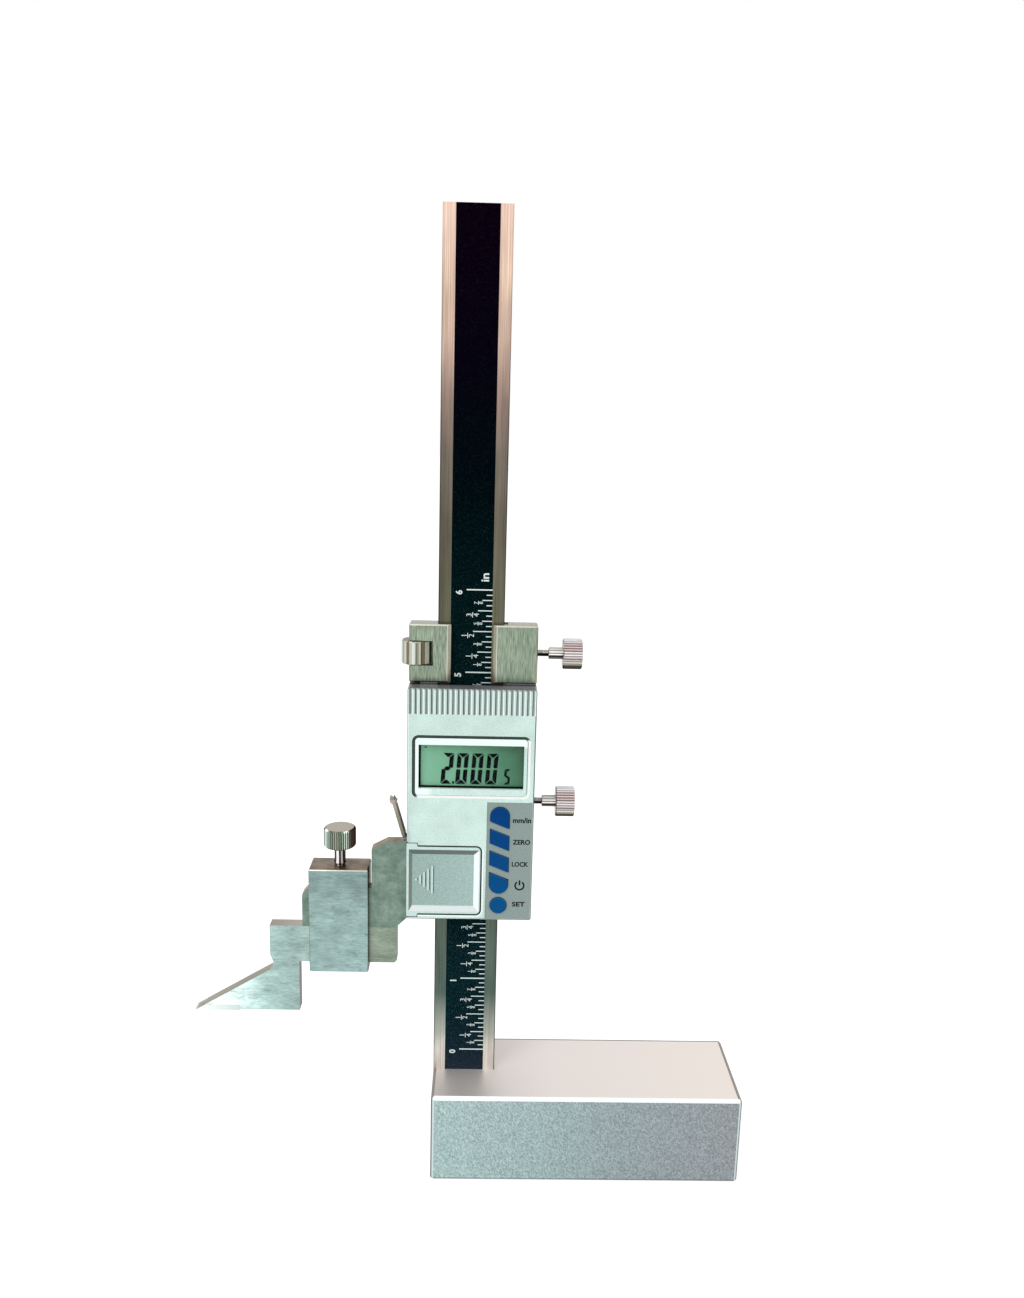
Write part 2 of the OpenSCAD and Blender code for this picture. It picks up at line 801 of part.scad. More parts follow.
module display_contacts() {
    color([0.3, 0.3, 0.3]) on_slider() for (s = [-1, 1])
        translate([body_x - lcd_w / 2, board_f - contact_t, lcd_z + s * (lcd_h / 2 - 0.2) - 0.6])
            cube([lcd_w, contact_t, 1.2]);
}

module circuit_board() {
    color([0.10, 0.38, 0.22]) on_slider() difference() {
        translate([body_l + board_edge, board_f, board_edge])
            cube([body_w - 2 * board_edge, board_t, housing_h - 2 * board_edge]);
        for (p = housing_spots) y_rod(boss_d + 2 * loose, board_f - over, frame_f + over, p[0], p[1]);
    }
}

module pickup_board() {
    color([0.75, 0.62, 0.30]) on_slider()
        translate([slot_l + loose, frame_f, pickup_inset])
            cube([slot_w - 2 * loose, lip_t - loose, housing_h - 2 * pickup_inset]);
}

// Data port and its cover
module port_socket() {
    color(black) on_slider()
        translate([body_l + side_wall, port_y0 + 0.2, port_hinge_z + 2.2])
            cube([1.6, board_f - port_y0 - 0.2, port_len - 3.2]);
}

module port_hinge_pin() {
    color(steel) on_slider() y_rod(pin_d, port_y0, port_y1, port_hinge_x, port_hinge_z);
}

module port_cover_outline() {
    t = port_t / 2;
    polygon([
        [-t, 0], [t, 0], [t, port_len - 0.8], [t - 0.2, port_len], [-t + 0.3, port_len - 0.6],
        [-t - 0.4, port_len + 0.2], [-t - 0.6, port_len - 0.9], [-t, port_len - 1.8]
    ]);
}

// The ridge that holds the port cover shut
module port_catch() {
    t = port_t / 2;
    xz_plate(port_y0 + port_rim + fit, port_y1 - port_rim - fit)
        polygon([[0, port_len - 2], [t, port_len - 2], [t + 0.5, port_len - 1.4], [t, port_len - 0.8],
            [0, port_len - 0.8]]);
}

module port_cover() {
    knuckle_y0 = port_y0 + ear_w + fit;
    knuckle_y1 = port_y1 - ear_w - fit;
    color([0.62, 0.60, 0.55]) on_slider() translate([port_hinge_x, 0, port_hinge_z])
        rotate([0, -port_open, 0]) difference() {
            union() {
                y_rod(knuckle_d, knuckle_y0, knuckle_y1, 0, 0);
                xz_plate(knuckle_y0, knuckle_y1) port_cover_outline();
                intersection() {
                    xz_plate(port_y0, port_y1) port_cover_outline();
                    translate([-5, port_y0, knuckle_d]) cube([10, port_y1 - port_y0, 2 * port_len]);
                }
                port_catch();
            }
            y_rod(pin_d + 2 * fit, port_y0 - over, port_y1 + over, 0, 0);
        }
}

// Lock screws along X, from the gib to the knurled head
module lock_screw(z, show) {
    collar_x = body_r + show;
    head_x = collar_x + lock_collar_l;
    x_rod(lock_d, channel_r, collar_x, 0, z);
    x_rod(lock_collar_d, collar_x, head_x, 0, z);
    translate([head_x, 0, z]) rotate([0, 90, 0]) bevel_rod(lock_head_d, lock_head_l, 0.4);
}

module slider_lock_screw() {
    color(steel) on_slider() lock_screw(slider_lock_z, slider_lock_show);
}

module carriage_lock_screw() {
    color(steel) on_carriage() lock_screw(carriage_mid, lock_show);
}

// Fine adjustment
nut_play = 0.2;
rod_cover = 1.2;

// The window is wide in front, and in the back wall it is just wide enough for the round nut
module nut_window() {
    wall_f = frame_b - back_wall;
    reach = sqrt(pow(nut_d / 2, 2) - pow(wall_f - rod_y, 2)) + nut_play;
    translate([body_l - over, 0, carriage_mid - nut_h / 2 - nut_play]) {
        translate([0, frame_f - over, 0])
            cube([rod_inset + nut_d / 2 + 0.7 + over, wall_f - frame_f + over, nut_h + 2 * nut_play]);
        translate([0, wall_f - over, 0])
            cube([rod_inset + reach + over, back_wall + 2 * over, nut_h + 2 * nut_play]);
    }
}

module carriage_block() {
    color(steel) on_carriage() difference() {
        bevel_box([body_l, frame_f, 0], [body_r, frame_b, carriage_h], block_bevel);
        beam_channel(carriage_h);
        slot_bevels(carriage_h);
        nut_window();
        z_rod(rod_d + 2 * loose, -over, carriage_h - rod_cover, rod_x, rod_y);
        x_rod(lock_d + 2 * fit, channel_r - over, body_r + over, 0, carriage_mid);
    }
}

module carriage_gib() {
    color(brass) on_carriage() gib(0.2, carriage_h - 0.2);
}

module adjust_rod() {
    color(dark_steel) on_slider()
        z_rod(rod_d, housing_h - rod_depth, housing_h + carriage_gap + carriage_h - rod_cover - 1, rod_x, rod_y);
}

module adjust_nut() {
    color(steel) on_carriage() translate([rod_x, rod_y, carriage_mid - nut_h / 2])
        difference() {
            bevel_rod(nut_d, nut_h, 0.4);
            translate([0, 0, -over]) cylinder(d = rod_d + 2 * fit, h = nut_h + 2 * over);
        }
}

// Scriber, its carbide tip and the clamp that holds it
module carbide_outline() {
    top_x = tip_x + carbide_h / tan(blade_slope);
    polygon([[tip_x, tip_z], [carbide_r, tip_z], [carbide_r, tip_z + carbide_h], [top_x, tip_z + carbide_h]]);
}

module scriber_outline() {
    top_x = tip_x + carbide_h / tan(blade_slope);
    polygon([
        [leg_l, shank_top], [leg_r + shank_len, shank_top],
        [leg_r + shank_len, shank_bottom + shank_chamfer],
        [leg_r + shank_len - shank_chamfer, shank_bottom],
        [leg_r, shank_bottom], [leg_r, leg_z], [carbide_r + snug, leg_z],
        [carbide_r + snug, tip_z + carbide_h], [top_x, tip_z + carbide_h],
        [leg_in, blade_z], [leg_in, shank_bottom - leg_slope_low], [leg_l, shank_bottom + leg_slope_top]
    ]);
}

module scriber_hollow() {
    hollow_x = leg_in - hollow_r;
    hollow_z = tip_z + (hollow_x - tip_x) * tan(blade_slope) + hollow_r / cos(blade_slope);
    touch = [hollow_x + hollow_r * sin(blade_slope), hollow_z - hollow_r * cos(blade_slope)];
    difference() {
        xz_plate(frame_f, frame_f + arm_t) polygon([
            [leg_in, blade_z], [leg_in, hollow_z], [hollow_x, hollow_z], touch
        ]);
        y_rod(2 * hollow_r, frame_f - over, frame_f + arm_t + over, hollow_x, hollow_z);
    }
}

module scriber() {
    color(steel) on_slider() {
        xz_plate(frame_f, frame_f + arm_t) scriber_outline();
        scriber_hollow();
    }
}

module carbide_tip() {
    color([0.85, 0.87, 0.84]) on_slider() xz_plate(frame_f, frame_f + arm_t) carbide_outline();
}

module clamp_box() {
    color(steel) on_slider() difference() {
        bevel_box([clamp_l, clamp_y - clamp_d / 2, clamp_z0], [clamp_r, clamp_y + clamp_d / 2, clamp_z1],
            block_bevel);
        translate([clamp_l - over, frame_f - fit, shank_bottom - fit])
            cube([clamp_w + 2 * over, arm_t + 2 * fit, arm_top + clamp_play - shank_bottom + fit]);
        z_rod(clamp_screw_d + 2 * fit, arm_top, clamp_z1 + over, clamp_x, clamp_y);
    }
}

module clamp_screw() {
    neck = 1.3;
    color(steel) on_slider() translate([clamp_x, clamp_y, 0]) {
        translate([0, 0, arm_top + fit]) cylinder(d = clamp_screw_d, h = clamp_z1 + 0.2 - arm_top - fit);
        translate([0, 0, clamp_z1 + 0.2])
            cylinder(d1 = clamp_screw_d, d2 = clamp_shank_d, h = neck);
        translate([0, 0, clamp_z1 + 0.2 + neck]) cylinder(d = clamp_shank_d, h = clamp_shank_l - neck);
        translate([0, 0, clamp_z1 + 0.2 + clamp_shank_l]) bevel_rod(clamp_head_d, clamp_head_h, 0.6);
    }
}

base_block();
beam();
scale_strip();
foot_screws();
slider_frame();
slider_gib();
gib_screws();
back_label();
display_housing();
housing_screws();
display_lens();
display_gasket();
display_panel();
display_contacts();
circuit_board();
pickup_board();
key_label();
key_mat();
key_cap(4);  // key_units
key_cap(3);  // key_zero
key_cap(2);  // key_hold
key_cap(1);  // key_power
key_cap(0);  // key_set
battery_cell();
battery_contacts();
battery_cover();
port_socket();
port_hinge_pin();
port_cover();
slider_lock_screw();
adjust_rod();
adjust_nut();
carriage_block();
carriage_gib();
carriage_lock_screw();
clamp_box();
clamp_screw();
scriber();
carbide_tip();
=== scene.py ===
"""Digital height gauge: its finishes, markings, knurls and threads, in metres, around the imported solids."""

import json
import math

import bmesh
import bpy
from mathutils import Matrix, Vector

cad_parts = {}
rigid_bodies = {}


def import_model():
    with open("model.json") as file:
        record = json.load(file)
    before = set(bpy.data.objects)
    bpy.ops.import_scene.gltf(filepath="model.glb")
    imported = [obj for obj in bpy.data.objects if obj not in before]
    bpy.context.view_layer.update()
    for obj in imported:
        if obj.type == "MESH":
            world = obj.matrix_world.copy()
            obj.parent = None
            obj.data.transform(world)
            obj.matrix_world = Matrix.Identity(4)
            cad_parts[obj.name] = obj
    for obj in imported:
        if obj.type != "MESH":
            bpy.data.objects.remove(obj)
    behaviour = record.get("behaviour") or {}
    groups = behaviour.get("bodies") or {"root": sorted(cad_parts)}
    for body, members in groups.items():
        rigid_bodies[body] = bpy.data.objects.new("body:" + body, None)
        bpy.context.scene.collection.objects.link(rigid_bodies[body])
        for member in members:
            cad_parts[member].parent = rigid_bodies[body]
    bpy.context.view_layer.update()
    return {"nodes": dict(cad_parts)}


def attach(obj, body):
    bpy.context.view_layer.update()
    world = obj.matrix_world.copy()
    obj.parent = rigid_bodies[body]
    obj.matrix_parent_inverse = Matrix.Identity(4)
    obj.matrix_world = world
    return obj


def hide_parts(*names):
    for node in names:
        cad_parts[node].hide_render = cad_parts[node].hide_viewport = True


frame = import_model()
nodes = frame["nodes"]

MM = 0.001

# Places that the solids also have, in millimetres
BASE_SIDE, BASE_BACK, BASE_TOP = 49.5, 17.5, 29
BEAM_MIDDLE, BEAM_FRONT, BEAM_TOP = -39.5, -1.75, 298
STRIP_RIGHT = -33.27
SCALE_ZERO, INCH = 36.5, 25.4
HOUSING_FRONT, HOUSING_LEFT, HOUSING_RIGHT = -9.5, -58.1, -19.3
HOUSING_FOOT, HOUSING_TOP = 86.0, 160.0
LABEL_FRONT = -9.3
PANEL_FRONT = -7.0
DISPLAY = (-38.7, 135.7)
FIELD_W, FIELD_H, FIELD_R = 35.8, 19.9, 2.0
GRIP_FOOT, GRIP_PITCH = 152.1, 1.6
COVER = (-46.65, 99.0)
COVER_W, COVER_H, COVER_R = 22.9, 22.3, 1.5
COVER_RIGHT, COVER_TAB, TAB_TOP = -35.2, -54.6, 111.1
RIDGE_LEFT, RIDGE_PITCH, RIDGE_STEP = -55.4, 1.24, 2.1
SLOT_X, SLOT_W = -39.15, 12.7
SLIDER_LOCK_Z, CARRIAGE_LOCK_Z = 122.2, 169.6
CLAMP_AXIS, CLAMP_HEAD_Z = (-79.5, -1.75), 106.9
NUT = (-56.1, -0.5, 166.0)

# Between these places the colour of a piece changes, in millimetres
SCRIBER_LEFT, SCRIBER_RIGHT = -126, -61
BLADE_RIGHT, INSERT_RIGHT = -90, -111
CLAMP_FOOT, CLAMP_TOP = 66, 100.7
FLAP_FOOT, FLAP_TOP = 112, 125
KEYS_FOOT, KEYS_TOP = 90, 123


def paint(r, g, b):
    """A colour given as it shows on a screen, from 0 to 255."""
    return tuple(((c / 255 + 0.055) / 1.055) ** 2.4 if c > 10 else c / 255 / 12.92 for c in (r, g, b)) + (1,)


def put(tree, kind, sockets=None, **settings):
    """Adds a node to a tree, with its settings and with its sockets set or linked."""
    node = tree.nodes.new(kind)
    for key, value in settings.items():
        setattr(node, key, value)
    for key, value in (sockets or {}).items():
        if isinstance(value, bpy.types.NodeSocket):
            tree.links.new(value, node.inputs[key])
        else:
            node.inputs[key].default_value = value
    return node


def linked(thing):
    """An object, after it is put into the scene."""
    bpy.context.scene.collection.objects.link(thing)
    return thing


class Tree:
    """A node tree under construction."""

    def add(self, kind, sockets=None, **settings):
        return put(self.tree, kind, sockets, **settings)

    def math(self, operation, a, b=0.0):
        return self.add("ShaderNodeMath", {0: a, 1: b}, operation=operation).outputs[0]

    def plus(self, a, b):
        return self.math("ADD", a, b)

    def minus(self, a, b):
        return self.math("SUBTRACT", a, b)

    def ratio(self, a, b):
        return self.math("DIVIDE", a, b)

    def larger(self, a, b):
        return self.math("MAXIMUM", a, b)

    def both(self, first, *others):
        """The product of all factors."""
        for other in others:
            first = self.math("MULTIPLY", first, other)
        return first


class Finish(Tree):
    """A procedural material. Its patterns are measured in millimetres of the object's own space.

    Its colours are given as they show on a screen, from 0 to 255.
    """

    def __init__(self, name):
        self.material = bpy.data.materials.new(name)
        self.material.use_nodes = True
        self.tree = self.material.node_tree
        self.surface = self.tree.nodes["Principled BSDF"]
        coords = self.add("ShaderNodeTexCoord")
        self.place = self.add("ShaderNodeVectorMath", {0: coords.outputs["Object"], "Scale": 1 / MM},
                              operation="SCALE").outputs[0]
        self.x, self.y, self.z = self.add("ShaderNodeSeparateXYZ", {0: self.place}).outputs
        self.nx, self.ny, self.nz = self.add("ShaderNodeSeparateXYZ", {0: coords.outputs["Normal"]}).outputs

    def span(self, value, low, high, to_low=0.0, to_high=1.0):
        """Maps value from low..high to to_low..to_high and holds it at the ends."""
        return self.add("ShaderNodeMapRange", {
            "Value": value, "From Min": low, "From Max": high, "To Min": to_low, "To Max": to_high}).outputs[0]

    def off(self, value, middle=0.0):
        """How far a value is from a middle, on either side."""
        return self.math("ABSOLUTE", self.minus(value, middle) if middle else value)

    def length(self, a, b):
        return self.math("SQRT", self.plus(self.both(a, a), self.both(b, b)))

    def mix(self, factor, a, b, blend="MIX"):
        a, b = (paint(*c) if isinstance(c, tuple) else c for c in (a, b))
        return self.add("ShaderNodeMix", {0: factor, 6: a, 7: b}, data_type="RGBA", blend_type=blend).outputs[2]

    def over(self, colour, other, *masks):
        """Lays another colour over a colour where all masks are 1."""
        return self.mix(self.both(*masks), colour, other)

    def ramp(self, value, *stops):
        """Colours at positions from 0 to 1. A stop is its position and its red, green and blue."""
        ramp = self.add("ShaderNodeValToRGB", {0: value})
        points = ramp.color_ramp.elements
        while len(points) < len(stops):
            points.new(1)
        for point, (position, *colour) in zip(points, stops):
            point.position = position
            point.color = paint(*colour)
        return ramp.outputs[0]

    def grain(self, per_mm=(1, 1, 1), detail=2.0, rough=0.5, shift=0.0, lean=0.0):
        """Noise around 0.5, with so many waves per millimetre along X, Y and Z, and leaning by some degrees."""
        place = self.place
        if lean:
            place = self.add("ShaderNodeVectorRotate", {0: place, "Angle": math.radians(lean)},
                             rotation_type="Y_AXIS").outputs[0]
        mapped = self.add("ShaderNodeMapping", {
            0: place, "Location": (shift, shift * 1.7, shift * 0.6), "Scale": per_mm})
        return self.add("ShaderNodeTexNoise", {
            "Vector": mapped.outputs[0], "Scale": 1.0, "Detail": detail, "Roughness": rough}).outputs["Fac"]

    def facing(self, low=0.35, high=0.8):
        """1 on faces that look up, 0 on upright ones."""
        return self.span(self.nz, low, high)

    def behind(self, low, high):
        """0 at one depth behind the housing's front, 1 at the other."""
        return self.span(self.y, HOUSING_FRONT + low, HOUSING_FRONT + high)

    def tone(self, colour, factor, dark, light):
        """Makes a colour darker or lighter where factor goes from 0.3 to 0.7."""
        level = self.span(factor, 0.3, 0.7, dark, light)
        grey = self.add("ShaderNodeCombineColor", {0: level, 1: level, 2: level}).outputs[0]
        return self.mix(1.0, colour, grey, "MULTIPLY")

    def done(self, colour, metallic, roughness, bump=None, depth=0.01, **extra):
        """Fills in the surface. Depth is the bump's height in millimetres."""
        inputs = self.surface.inputs
        self.tree.links.new(colour, inputs["Base Color"])
        inputs["Metallic"].default_value = metallic
        if isinstance(roughness, float):
            inputs["Roughness"].default_value = roughness
        else:
            self.tree.links.new(roughness, inputs["Roughness"])
        for key, value in extra.items():
            inputs[key.replace("_", " ")].default_value = value
        if bump is not None:
            relief = self.add("ShaderNodeBump", {"Height": bump, "Strength": 1.0, "Distance": depth * MM})
            self.tree.links.new(relief.outputs[0], inputs["Normal"])
        return self.material


# Finishes


def blasted_chrome():
    """The base: fine blasted satin, cooler at its left, with a painted highlight on the bevel in front and painted
    shade on the bevels beside it, along the top's back and right edges and underneath.
    """
    f = Finish("blasted_satin_base")
    speck = f.grain((3.0, 3.0, 1.6), 3.0, 0.65, lean=28)
    fine = f.grain((5, 5, 5), 1.0, 0.5, 7.0)
    along = f.span(f.x, -BASE_SIDE, BASE_SIDE)
    front = f.ramp(along, (0.0, 171, 196, 194), (0.35, 160, 181, 182), (0.6, 151, 165, 168),
                   (1.0, 146, 152, 156))
    front = f.tone(f.tone(front, speck, 0.5, 1.42), fine, 0.9, 1.1)
    # Painted shade along the foot of the front
    front = f.mix(f.span(f.z, 0.7, 0.4, 0.0, 0.8), front, (84, 96, 96))
    # On the top, the left part around the beam is darker, as a painted reflection and shade of the beam
    top = f.ramp(along, (0.0, 214, 208, 206), (0.4, 238, 230, 225), (1.0, 246, 235, 228))
    top = f.tone(top, fine, 0.975, 1.02)
    # Painted shade along the back and right edges of the top
    rim = f.larger(f.span(f.y, BASE_BACK - 1.6, BASE_BACK - 1.3), f.span(f.x, BASE_SIDE - 1.4, BASE_SIDE - 1.1))
    top = f.mix(rim, top, (98, 86, 76))
    colour = f.mix(f.facing(0.8, 0.95), front, top)
    # Painted light and shade on the bevels: shade on the side ones, a highlight with shade at the very edge across the
    # front's upright corners, a highlight on the front one and shade underneath
    sideways = f.span(f.off(f.nx), 0.4, 0.6)
    ahead = f.span(f.ny, -0.4, -0.6)
    colour = f.over(colour, (132, 126, 120), sideways, f.facing(0.2, 0.4))
    corner = f.mix(f.span(f.off(f.x), BASE_SIDE - 0.5, BASE_SIDE - 0.3), (206, 222, 222), (76, 84, 84))
    colour = f.over(colour, corner, sideways, ahead)
    colour = f.over(colour, (246, 250, 250), f.facing(0.4, 0.6), f.facing(0.95, 0.85), ahead)
    colour = f.mix(f.facing(-0.3, -0.5), colour, (84, 92, 94))
    return f.done(colour, 0.45, f.span(speck, 0.3, 0.7, 0.36, 0.5), speck, 0.012)


def beam_steel():
    """The beam: ground along its length. On its front a painted reflection runs from warm at the top to olive lower
    down; its back is plain.
    """
    f = Finish("ground_beam_steel")
    lines = f.grain((9, 9, 0.03), 3.0, 0.6)
    smudge = f.grain((0.25, 0.25, 0.05), 2.0, 0.5, 3.0)
    up = f.span(f.z, BASE_TOP + 1, BEAM_TOP)
    colour = f.ramp(up, (0.0, 238, 230, 220), (0.02, 228, 222, 212), (0.045, 160, 162, 153), (0.1, 79, 95, 88),
                    (0.2, 82, 94, 84), (0.55, 94, 94, 77), (0.65, 94, 89, 76), (0.74, 110, 101, 91),
                    (0.8, 148, 127, 116), (0.86, 200, 172, 156), (0.92, 222, 193, 172), (1.0, 232, 199, 183))
    plain_side = f.ramp(up, (0.0, 150, 152, 148), (1.0, 176, 172, 166))
    colour = f.mix(f.span(f.ny, -0.3, 0.3, 0.0, 0.8), colour, plain_side)
    colour = f.tone(f.tone(colour, lines, 0.6, 1.36), smudge, 0.84, 1.14)
    # Below its top the painted reflection is darker on the outer parts of the rails than inside, and lighter on the
    # right rail
    side = f.minus(f.x, BEAM_MIDDLE)
    rails = f.plus(f.span(f.off(side), 6.8, 9.8, 0.1, -0.14),
                   f.both(f.span(side, -6.0, 6.0, -0.09, 0.07), f.span(f.z, 90, 150)))
    rails = f.both(rails, f.span(f.z, 262, 225))
    colour = f.tone(colour, f.plus(rails, 0.5), 0.8, 1.2)
    # Painted shade on the bevels of the front edges, deeper lower down
    edge = f.both(f.span(f.off(f.nx), 0.3, 0.6), f.span(f.ny, -0.3, -0.6))
    colour = f.over(colour, (52, 50, 40), edge, f.span(f.z, 290, 230, 0.2, 0.75))
    return f.done(colour, 1.0, 0.34, lines, 0.003)


def scale_film():
    """The printed strip: near black, slightly violet high up and teal low down, with dust in it."""
    f = Finish("scale_film")
    colour = f.ramp(f.span(f.z, BASE_TOP, BEAM_TOP), (0.0, 36, 44, 60), (0.03, 20, 36, 48), (0.08, 6, 32, 38),
                    (0.55, 2, 22, 24), (0.7, 1, 10, 14), (0.85, 6, 2, 14), (1.0, 11, 1, 14))
    dust = f.grain((3.0, 3.0, 3.0), 2.0, 0.6)
    colour = f.over(colour, (70, 104, 104), f.span(dust, 0.56, 0.72), f.span(f.z, 120, 230, 0.6, 0.08))
    return f.done(colour, 0.0, 0.6, dust, 0.002, Specular_IOR_Level=0.0)


def brushed_block():
    """The carriage: brushed upright, green-grey in front, with a lighter painted reflection on top, painted light on
    its edges and painted shade underneath.
    """
    f = Finish("brushed_block_steel")
    lines = f.grain((4.5, 4.5, 0.22), 2.0, 0.7)
    broad = f.grain((1.2, 1.2, 0.12), 3.0, 0.6, 11.0)
    colour = f.mix(f.facing(), (134, 148, 130), (166, 164, 152))
    colour = f.tone(f.tone(colour, lines, 0.42, 1.58), broad, 0.82, 1.16)
    # Painted light on the wide bevels beside the slot and on the rounded corners
    ahead = f.span(f.ny, -0.3, -0.5)
    colour = f.over(colour, (146, 140, 124), f.span(f.off(f.nx), 0.2, 0.3), ahead, 0.85)
    beside = f.off(f.off(f.x, SLOT_X), SLOT_W / 2 + 1.1)
    colour = f.over(colour, (196, 192, 176), f.span(beside, 0.17, 0.11), ahead)
    colour = f.over(colour, (222, 220, 206), f.facing(0.3, 0.5), ahead, 0.8)
    colour = f.mix(f.facing(-0.4, -0.8), colour, (84, 86, 78))
    return f.done(colour, 1.0, f.span(lines, 0.3, 0.7, 0.3, 0.45), lines, 0.006)


def jaw_steel():
    """The slider's frame: mottled olive-grey on the jaw and arm, with a warm painted reflection on top, a painted
    highlight on its upper front edges, and painted shade near its top, where it runs behind the housing's top.
    """
    f = Finish("mottled_jaw_steel")
    mottle = f.grain((0.35, 0.35, 0.35), 4.0, 0.6)
    lines = f.grain((1.0, 3.5, 3.5), 3.0, 0.6, 5.0)
    spots = f.grain((1.6, 1.6, 1.6), 2.0, 0.6, 9.0)
    colour = f.ramp(mottle, (0.3, 96, 117, 106), (0.5, 113, 133, 122), (0.7, 130, 148, 135))
    colour = f.tone(f.tone(colour, lines, 0.9, 1.1), spots, 0.92, 1.07)
    warm = f.ramp(mottle, (0.3, 104, 92, 74), (0.7, 160, 144, 122))
    colour = f.mix(f.facing(0.3, 0.6), colour, warm)
    colour = f.over(colour, (204, 194, 172), f.facing(0.25, 0.4), f.span(f.ny, -0.3, -0.5), 0.8)
    colour = f.mix(f.span(f.z, HOUSING_TOP - 2, HOUSING_TOP - 1), colour, (40, 38, 36))
    return f.done(colour, 1.0, 0.42, spots, 0.006)


def ground_steel(name, scriber=False):
    """The clamp box and the scriber: ground sideways, blue-green grey with darker smudges, with a brown painted
    reflection on top, a painted highlight on the upper front edges, and painted shade underneath and on the faces
    turned right.
    """
    f = Finish(name)
    lines = f.grain((0.5, 3.6, 3.6), 3.0, 0.7)
    smudge = f.grain((0.14, 0.14, 0.3), 4.0, 0.62, 4.0)
    stains = f.grain((0.3, 0.3, 0.7), 4.0, 0.7, 21.0)
    if scriber:
        colour = f.ramp(f.span(f.x, SCRIBER_LEFT, SCRIBER_RIGHT), (0.0, 250, 253, 250), (0.14, 232, 248, 244),
                        (0.26, 206, 232, 228), (0.36, 164, 191, 186), (0.5, 150, 174, 170),
                        (0.62, 162, 182, 175), (0.8, 140, 154, 138), (1.0, 126, 139, 123))
        top = f.ramp(f.span(f.x, SCRIBER_LEFT, BLADE_RIGHT), (0.0, 150, 146, 132), (0.5, 140, 134, 120),
                     (1.0, 178, 171, 160))
    else:
        colour = f.ramp(f.span(f.z, CLAMP_FOOT, CLAMP_TOP), (0.0, 147, 172, 169), (0.5, 144, 169, 165),
                        (0.8, 134, 156, 153), (1.0, 126, 150, 147))
        top = f.ramp(smudge, (0.35, 92, 80, 64), (0.6, 136, 122, 104))
    colour = f.tone(f.tone(colour, lines, 0.78, 1.22), smudge, 0.76, 1.16)
    colour = f.mix(f.span(stains, 0.55, 0.7, 0.0, 0.5), colour, (88, 110, 106))
    colour = f.mix(f.facing(0.2, 0.5), colour, f.tone(top, lines, 0.92, 1.08))
    # Painted highlight on the upper front edges, then painted shade underneath and on the faces turned to the right
    edge = f.both(f.facing(0.45, 0.6), f.facing(0.9, 0.8), f.span(f.ny, -0.4, -0.6))
    colour = f.over(colour, (226, 226, 214), edge, 0.8)
    colour = f.mix(f.facing(-0.5, -0.9), colour, (96, 104, 100))
    colour = f.mix(f.span(f.nx, 0.7, 0.9), colour, (44, 34, 24))
    return f.done(colour, 1.0, 0.38, lines, 0.005)


def plated(name, light, dark, low=-0.75, high=0.6):
    """Plated turned pieces: painted light from above and painted shade underneath."""
    f = Finish(name)
    fine = f.grain((5, 5, 5), 2.0, 0.6)
    colour = f.mix(f.facing(low, high), dark, light)
    return f.done(f.tone(colour, fine, 0.82, 1.16), 1.0, 0.3, fine, 0.002)


def knurled(name, axis, end, groove, *stops):
    """Plated knurls: painted bands of reflected light across them, painted shade in their grooves, and plain ends."""
    f = Finish(name)
    fine = f.grain((5, 5, 5), 2.0, 0.6)
    across, valley = (f.add("ShaderNodeAttribute", attribute_name=label).outputs["Fac"]
                      for label in ("across", "groove"))
    colour = f.tone(f.ramp(f.span(across, -1, 1), *stops), fine, 0.8, 1.18)
    colour = f.over(colour, (52, 40, 38), f.span(valley, 0.1, 0.75), groove)
    along = f.off(f.nx if axis == "x" else f.nz)
    colour = f.mix(f.span(along, 0.6, 0.9), colour, f.tone(end, fine, 0.9, 1.08))
    return f.done(colour, 1.0, 0.3, fine, 0.002)


def polished(name, side, *stops):
    """A mirror-bright round piece: painted reflections of its surroundings, in bands that run along it."""
    f = Finish(name)
    fine = f.grain((6, 6, 6), 2.0, 0.6)
    colour = f.ramp(f.span(f.nx if side == "x" else f.nz, -1, 1), *stops)
    return f.done(f.tone(colour, fine, 0.9, 1.08), 0.6, 0.3, fine, 0.001)


def carbide():
    """The scriber's insert: pale and finely lapped."""
    f = Finish("lapped_carbide")
    lines = f.grain((0.4, 3, 6), 3.0, 0.6)
    colour = f.ramp(f.span(f.x, SCRIBER_LEFT, INSERT_RIGHT), (0.0, 236, 240, 238), (1.0, 190, 206, 200))
    colour = f.tone(colour, lines, 0.92, 1.06)
    # Painted reflection on top and painted shade underneath
    colour = f.mix(f.facing(0.2, 0.5), colour, (150, 146, 132))
    colour = f.mix(f.facing(-0.3, -0.6), colour, (96, 104, 100))
    return f.done(colour, 1.0, 0.22, lines, 0.002)


def moulded_edges(f, colour):
    """Light from the upper left on the slopes of moulded shapes, and shade on the other side."""
    lean = f.length(f.nx, f.nz)
    towards = f.plus(f.both(f.nx, -0.62), f.both(f.nz, 0.78))
    towards = f.ratio(towards, f.larger(lean, 0.05))
    slope = f.ramp(f.span(towards, -1, 1), (0.0, 66, 88, 84), (0.25, 132, 138, 134), (0.5, 190, 202, 198),
                   (0.75, 242, 252, 250), (1.0, 252, 255, 255))
    return f.over(colour, slope, f.span(lean, 0.12, 0.3), f.behind(1.4, 1.3))


def outside(f, middle, width, height, radius):
    """How far a point is outside a rounded rectangle in X and Z."""
    over_x = f.minus(f.off(f.x, middle[0]), width / 2 - radius)
    over_z = f.minus(f.off(f.z, middle[1]), height / 2 - radius)
    corner = f.length(f.larger(over_x, 0.0), f.larger(over_z, 0.0))
    inside = f.math("MINIMUM", f.larger(over_x, over_z), 0.0)
    return f.minus(f.plus(corner, inside), radius)


